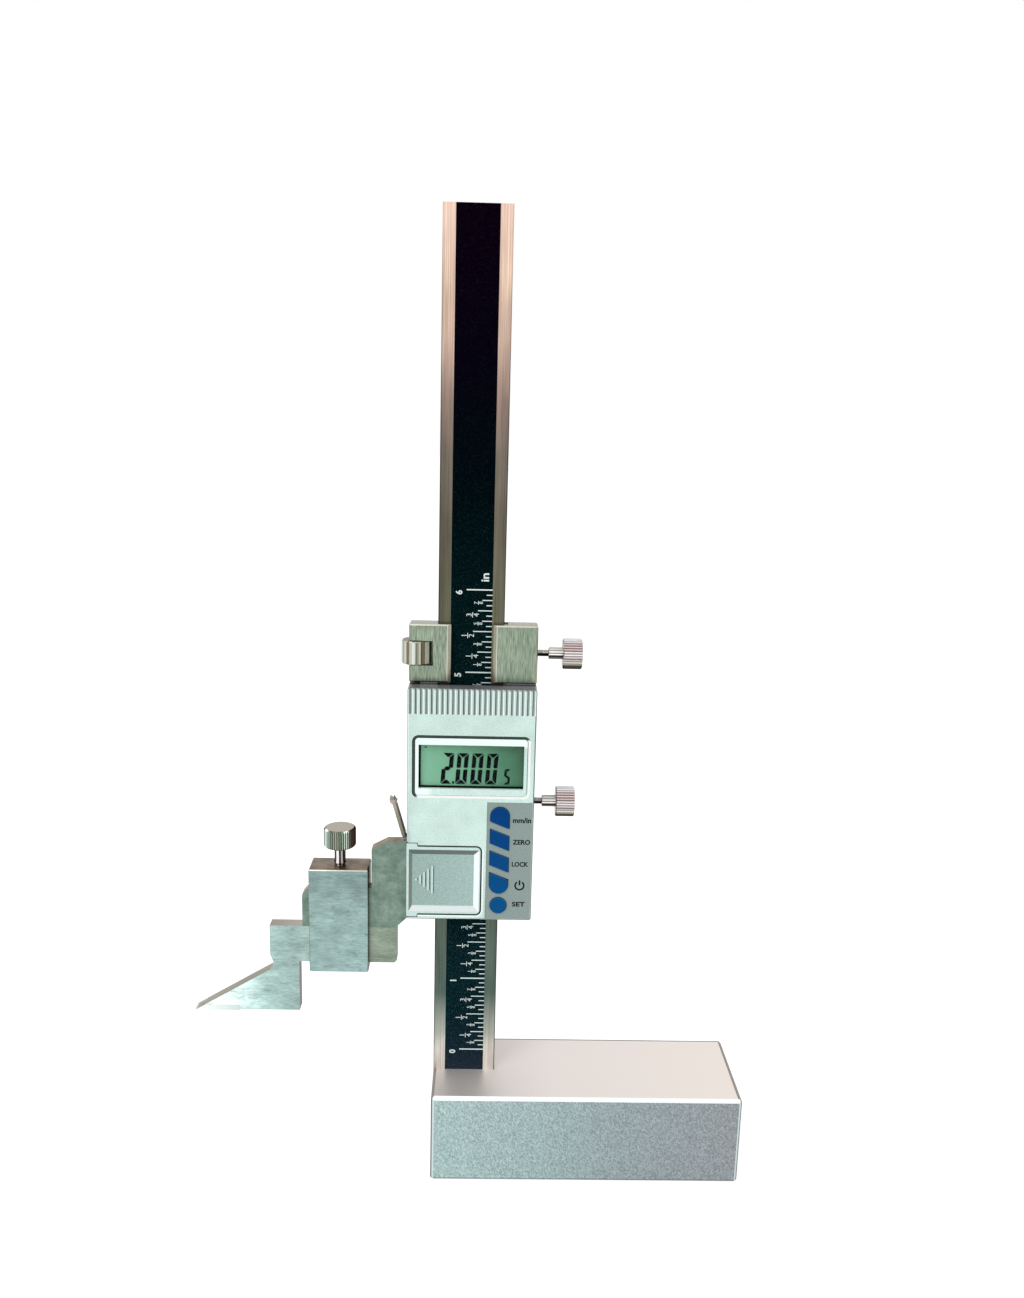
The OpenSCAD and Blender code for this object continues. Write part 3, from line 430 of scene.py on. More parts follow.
def cover_line(f, low, high):
    """A line in front, from low to high outside the battery cover's outline."""
    edge = outside(f, COVER, COVER_W, COVER_H, COVER_R)
    return f.both(f.span(edge, low, low + 0.06), f.span(edge, high, high - 0.06),
                  f.behind(0.3, 0.25), f.span(f.x, COVER_TAB - 0.1, COVER_TAB))


def dark_gap(f, colour, where):
    """Painted shade in the gap around the battery cover: on its walls, and along a line at its edge in front."""
    colour = f.over(colour, (30, 40, 40), f.span(f.ny, -0.97, -0.93), where)
    return f.mix(cover_line(f, -0.2, 0.4), colour, (66, 84, 80))


def display_border(f, colour):
    """The groove around the display, with painted shade at its top and left, and at its right and foot a thin painted
    shade beside the island and painted light beyond it, and a painted highlight on the band inside it at the upper
    left.
    """
    across = f.minus(f.x, DISPLAY[0])
    up = f.minus(f.z, DISPLAY[1])
    edge = outside(f, DISPLAY, FIELD_W, FIELD_H, FIELD_R)
    upper_left = f.larger(f.minus(f.ratio(across, -FIELD_W / 2), 0.04), f.ratio(up, FIELD_H / 2))
    colour = f.over(colour, (238, 253, 248), f.span(edge, -0.9, -0.95), f.span(edge, -3.2, -3.1),
                    f.behind(0.08, 0.12), f.span(upper_left, 0.6, 0.7))
    lit = f.ramp(f.span(edge, -0.95, 0.0), (0.0, 104, 118, 110), (0.16, 104, 118, 110), (0.28, 252, 255, 254))
    groove = f.mix(f.span(upper_left, 0.86, 0.9), lit, (48, 66, 60))
    return f.over(colour, groove, f.span(edge, -1.45, -1.4), f.span(edge, 0.2, 0.15), f.behind(0.28, 0.34))


def silver_paint():
    """The housing: silver metallic paint with a mint cast, with painted shade in its grooves."""
    f = Finish("silver_housing_paint")
    flake = f.grain((2.4, 2.4, 2.4), 2.0, 0.6)
    cloud = f.grain((0.12, 0.12, 0.12), 2.0, 0.5, 8.0)
    colour = f.tone(f.ramp(cloud, (0.35, 198, 222, 214), (0.65, 208, 234, 226)), flake, 0.9, 1.09)
    # Painted shade on the sunk front faces, deeper in the grip's grooves
    grooves = f.mix(f.span(f.z, 151, 153), (196, 206, 202), (164, 180, 174))
    colour = f.over(colour, grooves, f.behind(0.2, 0.42), f.span(f.ny, -0.3, -0.8))
    colour = display_border(f, moulded_edges(f, colour))
    # Each rib of the grip: its flat, painted shade on the left side of its groove, a lighter painted shade on the
    # groove's floor and a painted highlight on its right side
    step = f.math("FRACT", f.ratio(f.minus(f.x, DISPLAY[0]), GRIP_PITCH))
    flat, shade, floor, lit = (200, 222, 216), (70, 92, 86), (150, 168, 162), (248, 255, 254)
    ribs = f.ramp(step, (0.0, *flat), (0.23, *flat), (0.27, *shade), (0.4, *shade), (0.45, *floor),
                  (0.7, *floor), (0.74, *lit), (0.86, *lit), (0.92, *flat))
    colour = f.over(colour, f.tone(ribs, flake, 0.93, 1.06), f.span(f.z, GRIP_FOOT, GRIP_FOOT + 0.1), f.behind(1, 0.9))
    around = f.both(f.span(f.x, COVER_RIGHT + 0.5, COVER_RIGHT + 0.4),
                    f.span(f.x, HOUSING_LEFT + 0.1, HOUSING_LEFT + 0.2), f.span(f.z, TAB_TOP + 0.5, TAB_TOP + 0.45),
                    f.span(f.z, HOUSING_FOOT + 0.5, HOUSING_FOOT + 0.55))
    colour = dark_gap(f, colour, around)
    # The lit far side of that gap, at its right and its foot
    far_side = f.larger(f.span(f.x, COVER_RIGHT - 0.4, COVER_RIGHT), f.span(f.z, COVER[1] - 10.8, COVER[1] - 11.1))
    colour = f.over(colour, (250, 255, 254), cover_line(f, 0.34, 0.8), far_side,
                    f.span(f.z, COVER[1] + 10.6, COVER[1] + 10.2))
    # The outline: painted shade at the left, underneath and at the right's corner, and a lighter painted shade on the
    # right side and on top
    outline = f.larger(f.span(f.x, HOUSING_LEFT + 0.25, HOUSING_LEFT + 0.15),
                       f.span(f.z, HOUSING_FOOT + 0.3, HOUSING_FOOT + 0.15))
    colour = f.over(colour, (84, 100, 98), outline, 0.8)
    right = f.mix(f.span(f.ny, -0.2, -0.6), (150, 148, 148), (96, 98, 98))
    colour = f.mix(f.span(f.x, HOUSING_RIGHT - 0.3, HOUSING_RIGHT - 0.2), colour, right)
    colour = f.over(colour, (132, 131, 134), f.facing(0.5, 0.9), f.span(f.z, HOUSING_TOP - 1, HOUSING_TOP - 0.3))
    return f.done(colour, 0.35, 0.42, flake, 0.004)


def cover_paint():
    """The battery cover: the same paint, greyer with painted shade inside the sunk field, with pale ridges."""
    f = Finish("silver_cover_paint")
    flake = f.grain((2.2, 2.2, 2.2), 2.0, 0.6, 2.0)
    colour = f.tone((200, 224, 218), flake, 0.9, 1.08)
    ahead = f.span(f.ny, -0.3, -0.8)
    field = f.ramp(f.span(f.x, -57, -37), (0.0, 152, 177, 171), (1.0, 164, 190, 185))
    colour = f.over(colour, f.tone(field, flake, 0.8, 1.14), f.behind(0.4, 0.55), ahead)
    colour = moulded_edges(f, colour)
    # A softer painted highlight on upward faces
    colour = f.over(colour, (208, 222, 218), f.facing(0.25, 0.35), 0.8)
    # The shade at the right of each ridge, whose reach grows from row to row
    place = f.ratio(f.minus(f.x, RIDGE_LEFT), RIDGE_PITCH)
    row, part = f.math("FLOOR", place), f.math("FRACT", place)
    reach = f.plus(f.both(row, RIDGE_STEP / 2), 0.35)
    within = f.minus(reach, f.off(f.z, COVER[1] + 0.1))
    colour = f.over(colour, (74, 104, 96), f.span(part, 0.4, 0.46), f.span(part, 0.66, 0.6),
                    f.span(within, 0.0, 0.06), f.span(place, 5.0, 4.99), ahead)
    rim = f.larger(f.span(f.x, COVER_RIGHT - 0.45, COVER_RIGHT - 0.35), f.span(f.off(f.z, COVER[1]), 10.5, 10.6))
    return f.done(dark_gap(f, colour, rim), 0.35, 0.42, flake, 0.004)


def plain(name, colour, roughness, metallic=0.0, dark=0.9, light=1.08, per_mm=2.0, **extra):
    """A moulded or printed surface with a slight grain."""
    f = Finish(name)
    grain = f.grain((per_mm,) * 3, 3.0, 0.6)
    return f.done(f.tone(colour, grain, dark, light), metallic, roughness, grain, 0.004, **extra)


def key_plastic():
    """The keys: blue, with a painted highlight on their rounded rims and painted shade on their sides."""
    f = Finish("blue_key_plastic")
    grain = f.grain((3, 3, 3), 2.0, 0.5)
    colour = f.tone(f.ramp(f.span(f.z, KEYS_FOOT, KEYS_TOP), (0.0, 4, 84, 142), (1.0, 0, 62, 128)), grain, 0.94, 1.06)
    colour = f.over(colour, (96, 152, 190), f.span(f.ny, -0.98, -0.85), 0.6)
    colour = f.mix(f.span(f.ny, -0.4, 0.0), colour, (20, 52, 92))
    return f.done(colour, 0.0, 0.4, grain, 0.003, Specular_IOR_Level=0.06)


def crystal_panel():
    """The liquid crystal panel: green, deeper towards its upper right."""
    f = Finish("crystal_panel")
    slanted = f.plus(f.x, f.both(f.z, 0.35))
    colour = f.ramp(f.span(slanted, -8.0, 26.5), (0.0, 134, 200, 164), (0.45, 104, 170, 134),
                    (0.8, 58, 124, 88), (1.0, 34, 92, 62))
    return f.done(f.tone(colour, f.grain((0.5, 0.5, 0.5), 3.0, 0.6), 0.95, 1.05), 0.0, 0.3)


def clear_window():
    """The window over the display: almost all of it lets light through."""
    f = Finish("clear_window")
    colour = f.ramp(f.grain((0.3, 0.3, 0.3), 1.0, 0.5), (0.4, 120, 140, 130), (0.6, 140, 160, 150))
    return f.done(colour, 0.0, 0.06, Alpha=0.012)


def flap_plastic():
    """The side flap: silver plastic, painted tan as it shows in shade and lighter towards its top, dark on the face
    that shuts against the housing.
    """
    f = Finish("flap_plastic_painted_shade")
    grain = f.grain((2, 2, 1), 3.0, 0.6)
    colour = f.ramp(f.span(f.z, FLAP_FOOT, FLAP_TOP), (0.0, 112, 112, 96), (0.6, 150, 144, 124), (1.0, 196, 184, 170))
    colour = f.tone(colour, grain, 0.8, 1.15)
    colour = f.mix(f.span(f.nx, 0.5, 0.9, 0.0, 0.85), colour, (40, 42, 38))
    return f.done(colour, 0.1, 0.42, grain, 0.006)


def board_film():
    """The boards: solder mask with faint copper runs."""
    f = Finish("solder_mask")
    runs = f.add("ShaderNodeTexBrick", {
        "Vector": f.place, "Color1": paint(14, 84, 50), "Color2": paint(10, 74, 44), "Mortar": paint(38, 122, 74),
        "Scale": 0.8, "Mortar Size": 0.03}).outputs[0]
    return f.done(runs, 0.0, 0.35)


FINISHES = {
    "base": blasted_chrome(),
    "beam": beam_steel(),
    "film": scale_film(),
    "block": brushed_block(),
    "jaw": jaw_steel(),
    "clamp": ground_steel("ground_clamp_steel"),
    "scriber": ground_steel("ground_scriber_steel", scriber=True),
    "carbide": carbide(),
    "knob": knurled(
        "plated_knob", "x", (150, 142, 138), 0.68, (0.0, 252, 250, 250), (0.07, 254, 252, 252),
        (0.1, 232, 218, 217), (0.2, 224, 205, 203), (0.33, 212, 190, 186), (0.37, 250, 242, 242),
        (0.51, 254, 251, 251), (0.56, 220, 207, 205), (0.64, 214, 201, 199), (0.67, 255, 254, 250),
        (0.73, 246, 242, 230), (0.79, 150, 147, 132), (0.83, 74, 73, 60), (1.0, 40, 39, 32)),
    # The threads: painted light above and painted shade below
    "thread": plated("thread_painted_light_and_shade", (216, 212, 208), (10, 9, 7), 0.0, 0.25),
    "stem": polished(
        "polished_collar", "z", (0.0, 90, 78, 70), (0.24, 112, 98, 88), (0.27, 12, 8, 6), (0.42, 12, 8, 6),
        (0.445, 250, 246, 240), (0.55, 250, 248, 244), (0.57, 112, 96, 82), (0.63, 112, 96, 82),
        (0.65, 252, 250, 246), (0.76, 250, 248, 244), (0.78, 130, 128, 124), (0.83, 130, 128, 124),
        (0.85, 228, 226, 222), (0.93, 222, 220, 216), (1.0, 140, 140, 136)),
    "shank": polished(
        "polished_shank", "x", (0.0, 14, 12, 10), (0.2, 22, 20, 17), (0.24, 240, 238, 232),
        (0.44, 252, 250, 246), (0.47, 30, 25, 22), (0.62, 34, 29, 26), (0.66, 190, 176, 178),
        (0.76, 176, 160, 160), (0.8, 20, 14, 12), (1.0, 10, 8, 6)),
    "nut": polished(
        "banded_nut", "x", (0.0, 76, 76, 68), (0.08, 190, 196, 192), (0.2, 232, 238, 236), (0.28, 104, 110, 92),
        (0.36, 206, 204, 186), (0.45, 136, 122, 98), (0.52, 92, 84, 62), (0.58, 250, 246, 232),
        (0.62, 130, 126, 102), (0.68, 206, 216, 200), (0.79, 196, 204, 186), (0.84, 96, 92, 76),
        (0.9, 112, 106, 90), (0.94, 166, 160, 146), (1.0, 70, 66, 56)),
    "clamp_head": knurled(
        "plated_clamp_head", "z", (172, 163, 149), 0.85, (0.0, 70, 76, 68), (0.04, 110, 120, 108),
        (0.08, 238, 244, 240), (0.13, 196, 220, 206), (0.2, 158, 186, 168), (0.3, 132, 158, 138),
        (0.42, 190, 204, 182), (0.55, 166, 180, 160), (0.66, 184, 200, 182), (0.72, 216, 232, 222),
        (0.79, 206, 218, 208), (0.83, 112, 114, 98), (0.89, 54, 44, 32), (1.0, 34, 26, 20)),
    # Screws: blackened, with painted shade underneath
    "screw": plated("blackened_screw_painted_shade", (96, 97, 95), (40, 40, 40)),
    "housing": silver_paint(),
    "cover": cover_paint(),
    "label": plain("key_label_film", (141, 158, 154), 0.4, 0.1, 0.88, 1.09, 2.6),
    "key": key_plastic(),
    "rubber": plain("black_rubber", (42, 43, 45), 0.7),
    "black": plain("matt_black_plastic", (4, 5, 5), 0.7, Specular_IOR_Level=0.05),
    # The gibs: brass, painted dark as shade
    "gib": plain("brass_gib_painted_shade", (54, 44, 32), 0.5, 1.0),
    "window": clear_window(),
    "panel": crystal_panel(),
    "digit": plain("crystal_black", (5, 9, 16), 0.5, 0.0, 0.98, 1.02, Specular_IOR_Level=0.0),
    "shade": plain("crystal_shadow", (84, 140, 112), 0.3, 0.0, 0.98, 1.02),
    "print_white": plain("white_print", (226, 238, 234), 0.5, 0.0, 0.94, 1.05, 3.0),
    "print_dark": plain("dark_print", (14, 18, 22), 0.5, 0.0, 0.9, 1.1, 3.0, Specular_IOR_Level=0.1),
    "brass": plain("satin_brass", (198, 160, 92), 0.35, 1.0),
    "board": board_film(),
    "flap": flap_plastic(),
    "plate": plain("bare_back_plate", (196, 202, 204), 0.4, 0.6, 0.95, 1.04, 1.2),
}

NODE_FINISHES = {
    "base_block": "base", "beam": "beam", "scale_strip": "film", "foot_screws": "screw",
    "slider_gib": "gib", "gib_screws": "screw", "back_label": "plate", "housing_screws": "screw",
    "display_lens": "window", "display_gasket": "black", "display_panel": "panel",
    "display_contacts": "rubber", "circuit_board": "board", "pickup_board": "board", "key_label": "label",
    "key_mat": "rubber", "battery_cell": "plate", "battery_contacts": "brass", "port_socket": "black",
    "port_hinge_pin": "screw", "port_cover": "flap", "adjust_rod": "screw", "carriage_gib": "gib",
}


# Making pieces


def dress(thing, finish):
    thing.data.materials.clear()
    thing.data.materials.append(FINISHES[finish])


def piece(name, mesh, finish, body, slot, *stands_for):
    """An object at the origin that rides on a body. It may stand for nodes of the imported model."""
    thing = linked(bpy.data.objects.new(name, mesh))
    dress(thing, finish)
    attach(thing, body)
    if stands_for:
        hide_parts(*stands_for)


def plain_mesh(thing, name):
    """The evaluated mesh of an object, and the object is removed."""
    graph = bpy.context.evaluated_depsgraph_get()
    mesh = bpy.data.meshes.new_from_object(thing.evaluated_get(graph), depsgraph=graph)
    mesh.name = name
    bpy.data.objects.remove(thing)
    return mesh


def smooth(mesh, degrees=24):
    mesh.shade_smooth()
    mesh.set_sharp_from_angle(angle=math.radians(degrees))


def to_mesh(shape, name):
    mesh = bpy.data.meshes.new(name)
    shape.to_mesh(mesh)
    shape.free()
    return mesh


def closed_mesh(shape, name, degrees):
    """The mesh of a closed shape, with its faces outwards and smooth below an angle."""
    bmesh.ops.recalc_face_normals(shape, faces=shape.faces)
    mesh = to_mesh(shape, name)
    smooth(mesh, degrees)
    return mesh


def softened(node, finish, width, body, slot, segments=2, merge=True, before=None, sharp=20):
    """A copy of a node with small rounded edges, which stands for it. Before that, it may be cut back further."""
    shape = bmesh.new()
    shape.from_mesh(nodes[node].data)
    bmesh.ops.remove_doubles(shape, verts=shape.verts, dist=2e-7)
    if merge:
        bmesh.ops.dissolve_limit(shape, angle_limit=math.radians(0.3), verts=shape.verts, edges=shape.edges)
    if before:
        before(shape)
    mesh = to_mesh(shape, node)
    # The solids' stored normals don't fit the rounded shape
    if "custom_normal" in mesh.attributes:
        mesh.attributes.remove(mesh.attributes["custom_normal"])
    thing = linked(bpy.data.objects.new(node, mesh))
    bevel = thing.modifiers.new("rounding", "BEVEL")
    bevel.width = width * MM
    bevel.segments = segments
    bevel.limit_method = "ANGLE"
    bevel.angle_limit = math.radians(28)
    bevel.use_clamp_overlap = True
    bevel.miter_outer = "MITER_ARC"
    mesh = plain_mesh(thing, node + "_rounded")
    smooth(mesh, sharp)
    piece(node + "_rounded", mesh, finish, body, slot, node)


def round_key_corners(shape):
    """Rounds the upright corners of a key that aren't round already."""
    edges = [e for e in shape.edges if abs(e.verts[0].co.x - e.verts[1].co.x) < 1e-6
             and abs(e.verts[0].co.z - e.verts[1].co.z) < 1e-6
             and e.calc_face_angle(0) > math.radians(30) and min(v.co.y for v in e.verts) / MM < LABEL_FRONT]
    bmesh.ops.bevel(shape, geom=edges, offset=0.4 * MM, segments=3, affect="EDGES", clamp_overlap=True)


def plates(outlines, y_front, thickness, name):
    """Flat shapes in X and Z, in millimetres, from their front backwards by their thickness."""
    shape = bmesh.new()
    for outline in outlines:
        front = [shape.verts.new((x * MM, y_front * MM, z * MM)) for x, z in outline]
        back = [shape.verts.new((x * MM, (y_front + thickness) * MM, z * MM)) for x, z in outline]
        shape.faces.new(front)
        shape.faces.new(back[::-1])
        for i in range(len(outline)):
            j = (i + 1) % len(outline)
            shape.faces.new((front[i], back[i], back[j], front[j]))
    return closed_mesh(shape, name, 60)


def box_outline(left, right, low, high):
    return [(left, low), (right, low), (right, high), (left, high)]


def joined(meshes, name):
    shape = bmesh.new()
    for mesh in meshes:
        shape.from_mesh(mesh)
    return to_mesh(shape, name)


def lettering(text, height, centre, y_front, width=None, turn=0.0, thickness=0.02, thin=0.0):
    """Raised print with its middle at a place in X and Z. Its height and width are in millimetres."""
    curve = bpy.data.curves.new("lettering", "FONT")
    curve.body = text
    curve.size = 1.0
    curve.offset = -thin
    curve.resolution_u = 3
    mesh = plain_mesh(linked(bpy.data.objects.new("lettering", curve)), "lettering")
    shape = bmesh.new()
    shape.from_mesh(mesh)
    bmesh.ops.remove_doubles(shape, verts=shape.verts, dist=1e-5)
    made = bmesh.ops.extrude_face_region(shape, geom=shape.faces[:])
    raised = [v for v in made["geom"] if isinstance(v, bmesh.types.BMVert)]
    bmesh.ops.translate(shape, verts=raised, vec=(0, 0, 1))
    low, high = (Vector([pick(v.co[i] for v in shape.verts) for i in range(3)]) for pick in (min, max))
    size, middle = high - low, (low + high) / 2
    scale_z = height / size.y
    scale_x = width / size.x if width else scale_z
    spin = Matrix.Rotation(math.radians(turn), 2)
    for v in shape.verts:
        flat = spin @ Vector(((v.co.x - middle.x) * scale_x, (v.co.y - middle.y) * scale_z))
        depth = y_front if v.co.z > 0.5 else y_front + thickness
        v.co = Vector(((centre[0] + flat.x) * MM, depth * MM, (centre[1] + flat.y) * MM))
    return closed_mesh(shape, "lettering", 60)


# Geometry Nodes


class Recipe(Tree):
    """A Geometry Nodes tree with named inputs. Its result is made a plain mesh."""

    def __init__(self, name, inputs):
        self.name = name
        self.tree = bpy.data.node_groups.new(name, "GeometryNodeTree")
        self.ids = {}
        for label, value in inputs.items():
            kind = "NodeSocketInt" if isinstance(value, int) else "NodeSocketFloat"
            socket = self.tree.interface.new_socket(label, in_out="INPUT", socket_type=kind)
            socket.default_value = value
            self.ids[label] = socket.identifier
        self.finish_id = self.tree.interface.new_socket(
            "Finish", in_out="INPUT", socket_type="NodeSocketMaterial").identifier
        self.tree.interface.new_socket("Geometry", in_out="OUTPUT", socket_type="NodeSocketGeometry")
        self.given = self.add("NodeGroupInput").outputs
        self.end = self.add("NodeGroupOutput")

    def vector(self, x, y, z):
        return self.add("ShaderNodeCombineXYZ", {0: x, 1: y, 2: z}).outputs[0]

    def marked(self, geometry, label, value):
        """The geometry with a value stored at each point."""
        return self.add("GeometryNodeStoreNamedAttribute", {0: geometry, "Name": label, "Value": value},
                        data_type="FLOAT", domain="POINT").outputs[0]

    def close(self, geometry):
        real = self.add("GeometryNodeRealizeInstances", {0: geometry})
        painted = self.add("GeometryNodeSetMaterial", {0: real.outputs[0], "Material": self.given["Finish"]})
        self.tree.links.new(painted.outputs[0], self.end.inputs[0])

    def make(self, finish, **values):
        thing = linked(bpy.data.objects.new(self.name, bpy.data.meshes.new(self.name)))
        modifier = thing.modifiers.new(self.name, "NODES")
        modifier.node_group = self.tree
        for label, value in values.items():
            modifier[self.ids[label.replace("_", " ")]] = value
        modifier[self.finish_id] = FINISHES[finish]
        return plain_mesh(thing, self.name)


def graduation_recipe():
    """A line for each sixteenth of an inch, longer at each eighth, quarter, half and whole inch. In metres."""
    r = Recipe("graduations", {
        "Lines": 97, "Pitch": INCH * MM / 16, "First": SCALE_ZERO * MM, "Right edge": STRIP_RIGHT * MM,
        "Front": (BEAM_FRONT - 0.02) * MM, "Width": 0.0003, "Thickness": 0.00002, "Sixteenth": 0.0018,
        "Eighth": 0.003, "Quarter": 0.0043, "Half": 0.0057, "Inch": 0.0078})
    given = r.given
    line = r.add("GeometryNodeMeshLine", {
        "Count": given["Lines"], "Start Location": (0.0, 0.0, 0.0), "Offset": r.vector(0.0, 0.0, given["Pitch"])})
    index = r.add("GeometryNodeInputIndex").outputs[0]
    length = given["Sixteenth"]
    for every, label in ((2, "Eighth"), (4, "Quarter"), (8, "Half"), (16, "Inch")):
        hit = r.math("LESS_THAN", r.math("FLOORED_MODULO", index, float(every)), 0.5)
        length = r.add("GeometryNodeSwitch", {0: hit, 1: length, 2: given[label]}, input_type="FLOAT").outputs[0]
    # The lines of whole inches are wider too, and hit is still the test for them
    width = r.both(given["Width"], r.plus(1.0, r.both(hit, 0.3)))
    centre = r.vector(r.minus(given["Right edge"], r.ratio(length, 2.0)),
                      r.plus(given["Front"], r.ratio(given["Thickness"], 2.0)), given["First"])
    placed_line = r.add("GeometryNodeSetPosition", {0: line.outputs[0], "Offset": centre})
    bar = r.add("GeometryNodeMeshCube", {"Size": (1.0, 1.0, 1.0)})
    copies = r.add("GeometryNodeInstanceOnPoints", {
        0: placed_line.outputs[0], "Instance": bar.outputs[0],
        "Scale": r.vector(length, given["Thickness"], width)})
    r.close(copies.outputs[0])
    return r


def knurl_recipe():
    """A straight-knurled head or nut along Z from the origin, with bevelled ends and, if it has a bore, a hole."""
    r = Recipe("knurled_head", {
        "Diameter": 0.0095, "Length": 0.0059, "Teeth": 36, "Tooth depth": 0.0003, "Bevel": 0.0005, "Bore": 0.0})
    given = r.given
    outer = r.ratio(given["Diameter"], 2.0)
    star = r.add("GeometryNodeCurveStar", {
        "Points": given["Teeth"], "Inner Radius": r.minus(outer, given["Tooth depth"]),
        "Outer Radius": outer})
    # Four sections: a narrow one at each end and two full ones between them
    rail = r.add("GeometryNodeMeshLine", {"Count": 4})
    index = r.add("GeometryNodeInputIndex").outputs[0]
    far = r.math("GREATER_THAN", index, 1.5)
    full = r.add("ShaderNodeMath", {
        0: r.math("ABSOLUTE", r.minus(index, 1.5)), 1: 0.5, 2: 0.1}, operation="COMPARE").outputs[0]
    step = r.both(full, given["Bevel"])
    height = r.plus(r.both(far, r.minus(given["Length"], step)), r.both(r.minus(1.0, far), step))
    shaped = r.add("GeometryNodeSetPosition", {0: rail.outputs[0], "Position": r.vector(0.0, 0.0, height)})
    path = r.add("GeometryNodeMeshToCurve", {0: shaped.outputs[0]})
    narrow = r.minus(1.0, r.ratio(given["Bevel"], outer))
    radius = r.plus(narrow, r.both(full, r.minus(1.0, narrow)))
    sized = r.add("GeometryNodeSetCurveRadius", {0: path.outputs[0], "Radius": radius})
    body = r.add("GeometryNodeCurveToMesh", {
        0: sized.outputs[0], 1: star.outputs[0], "Fill Caps": True,
        "Scale": r.add("GeometryNodeInputRadius").outputs[0]})
    grooved = r.marked(body.outputs[0], "groove", r.minus(1.0, star.outputs["Outer Points"]))
    drill = r.add("GeometryNodeMeshCylinder", {
        "Vertices": 48, "Radius": r.ratio(given["Bore"], 2.0), "Depth": r.both(given["Length"], 4.0)})
    bored = r.add("GeometryNodeMeshBoolean", {"Mesh 1": grooved, "Mesh 2": drill.outputs[0]},
                  operation="DIFFERENCE")
    chosen = r.add("GeometryNodeSwitch", {
        0: r.math("GREATER_THAN", given["Bore"], 0.00001), 1: grooved, 2: bored.outputs[0]}, input_type="GEOMETRY")
    place = r.add("ShaderNodeSeparateXYZ", {0: r.add("GeometryNodeInputPosition").outputs[0]})
    r.close(r.marked(chosen.outputs[0], "across", r.ratio(place.outputs[0], outer)))
    return r


def lathe(profile, name, steps=48):
    """A closed turned shape around Z from [radius, height] in millimetres, from its lower to its upper end."""
    shape = bmesh.new()
    rings = []
    for radius, z in profile:
        rings.append([shape.verts.new((radius * math.cos(a) * MM, radius * math.sin(a) * MM, z * MM))
                      for a in (2 * math.pi * i / steps for i in range(steps))])
    for low, high in zip(rings, rings[1:]):
        for i in range(steps):
            j = (i + 1) % steps
            shape.faces.new((low[i], low[j], high[j], high[i]))
    shape.faces.new(rings[0][::-1])
    shape.faces.new(rings[-1])
    return closed_mesh(shape, name, 30)


def thread(diameter, length, name, pitch=0.4, depth=0.17, steps=32):
    """A threaded rod along Z from the origin, with a helical ridge and closed ends. In millimetres."""
    shape = bmesh.new()
    crest, root = diameter / 2, diameter / 2 - depth
    rows = []
    for k in range(2 * int(length / pitch) + 1):
        row = []
        for i in range(steps + 1):
            a = 2 * math.pi * i / steps
            z = (k / 2 + i / steps) * pitch
            r = crest if k % 2 and 0.01 <= z <= length else root
            row.append(shape.verts.new((r * math.cos(a) * MM, r * math.sin(a) * MM, min(z, length) * MM)))
        rows.append(row)
    for low, high in zip(rows, rows[1:]):
        for i in range(steps):
            shape.faces.new((low[i], low[i + 1], high[i + 1], high[i]))
    bmesh.ops.remove_doubles(shape, verts=shape.verts, dist=1e-7)
    bmesh.ops.holes_fill(shape, edges=[e for e in shape.edges if e.is_boundary], sides=0)
    return closed_mesh(shape, name, 30)


def placed(mesh, axis, at):
    """Turns a mesh from Z to another axis and moves it to a place in millimetres."""
    turn = {"x": Matrix.Rotation(math.pi / 2, 4, "Y"), "z": Matrix.Identity(4)}[axis]
    mesh.transform(Matrix.Translation(Vector(at) * MM) @ turn)
    return mesh


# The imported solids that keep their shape
for node, finish in NODE_FINISHES.items():
    dress(nodes[node], finish)

# Solids with rounded edges
softened("slider_frame", "jaw", 0.14, "slider", "brushed_steel")
softened("carriage_block", "block", 0.12, "carriage", "brushed_steel")
softened("clamp_box", "clamp", 0.12, "clamp", "ground_steel")
softened("scriber", "scriber", 0.12, "scriber_bar", "ground_steel")
softened("carbide_tip", "carbide", 0.05, "scriber_bar", "carbide")
softened("display_housing", "housing", 0.14, "slider", "housing_silver")
softened("battery_cover", "cover", 0.18, "cover", "housing_silver", merge=False, sharp=12)
for key in ("units", "zero", "hold", "power", "set"):
    softened("key_" + key, "key", 0.22, key + "_key", "key_blue", 3, before=round_key_corners)

# Knurled screws and the nut
knurl = knurl_recipe()


def knurled_piece(name, finish, axis, at, body, node, **sizes):
    mesh = knurl.make(finish, **sizes)
    smooth(mesh)
    piece(name, placed(mesh, axis, at), finish, body, "plated_steel", node)


def lock_screw(name, z, show):
    """A lock screw along X: its thread, which shows for a length, its collar and its knurled head."""
    inner, collar = HOUSING_RIGHT - 9.1, HOUSING_RIGHT + show
    collar_length = 4.3
    stem = placed(thread(2.2, collar - inner, "thread"), "x", (inner, 0, z))
    ring = placed(lathe([(1.6, 0), (1.8, 0.2), (1.8, collar_length)], "collar"), "x", (collar, 0, z))
    piece(name + "_thread", stem, "thread", name, "plated_steel")
    piece(name + "_collar", ring, "stem", name, "plated_steel")
    knurled_piece(name + "_head", "knob", "x", (collar + collar_length, 0, z), name, name + "_screw",
                  Diameter=0.0095, Length=0.0059, Teeth=34, Bevel=0.0003)


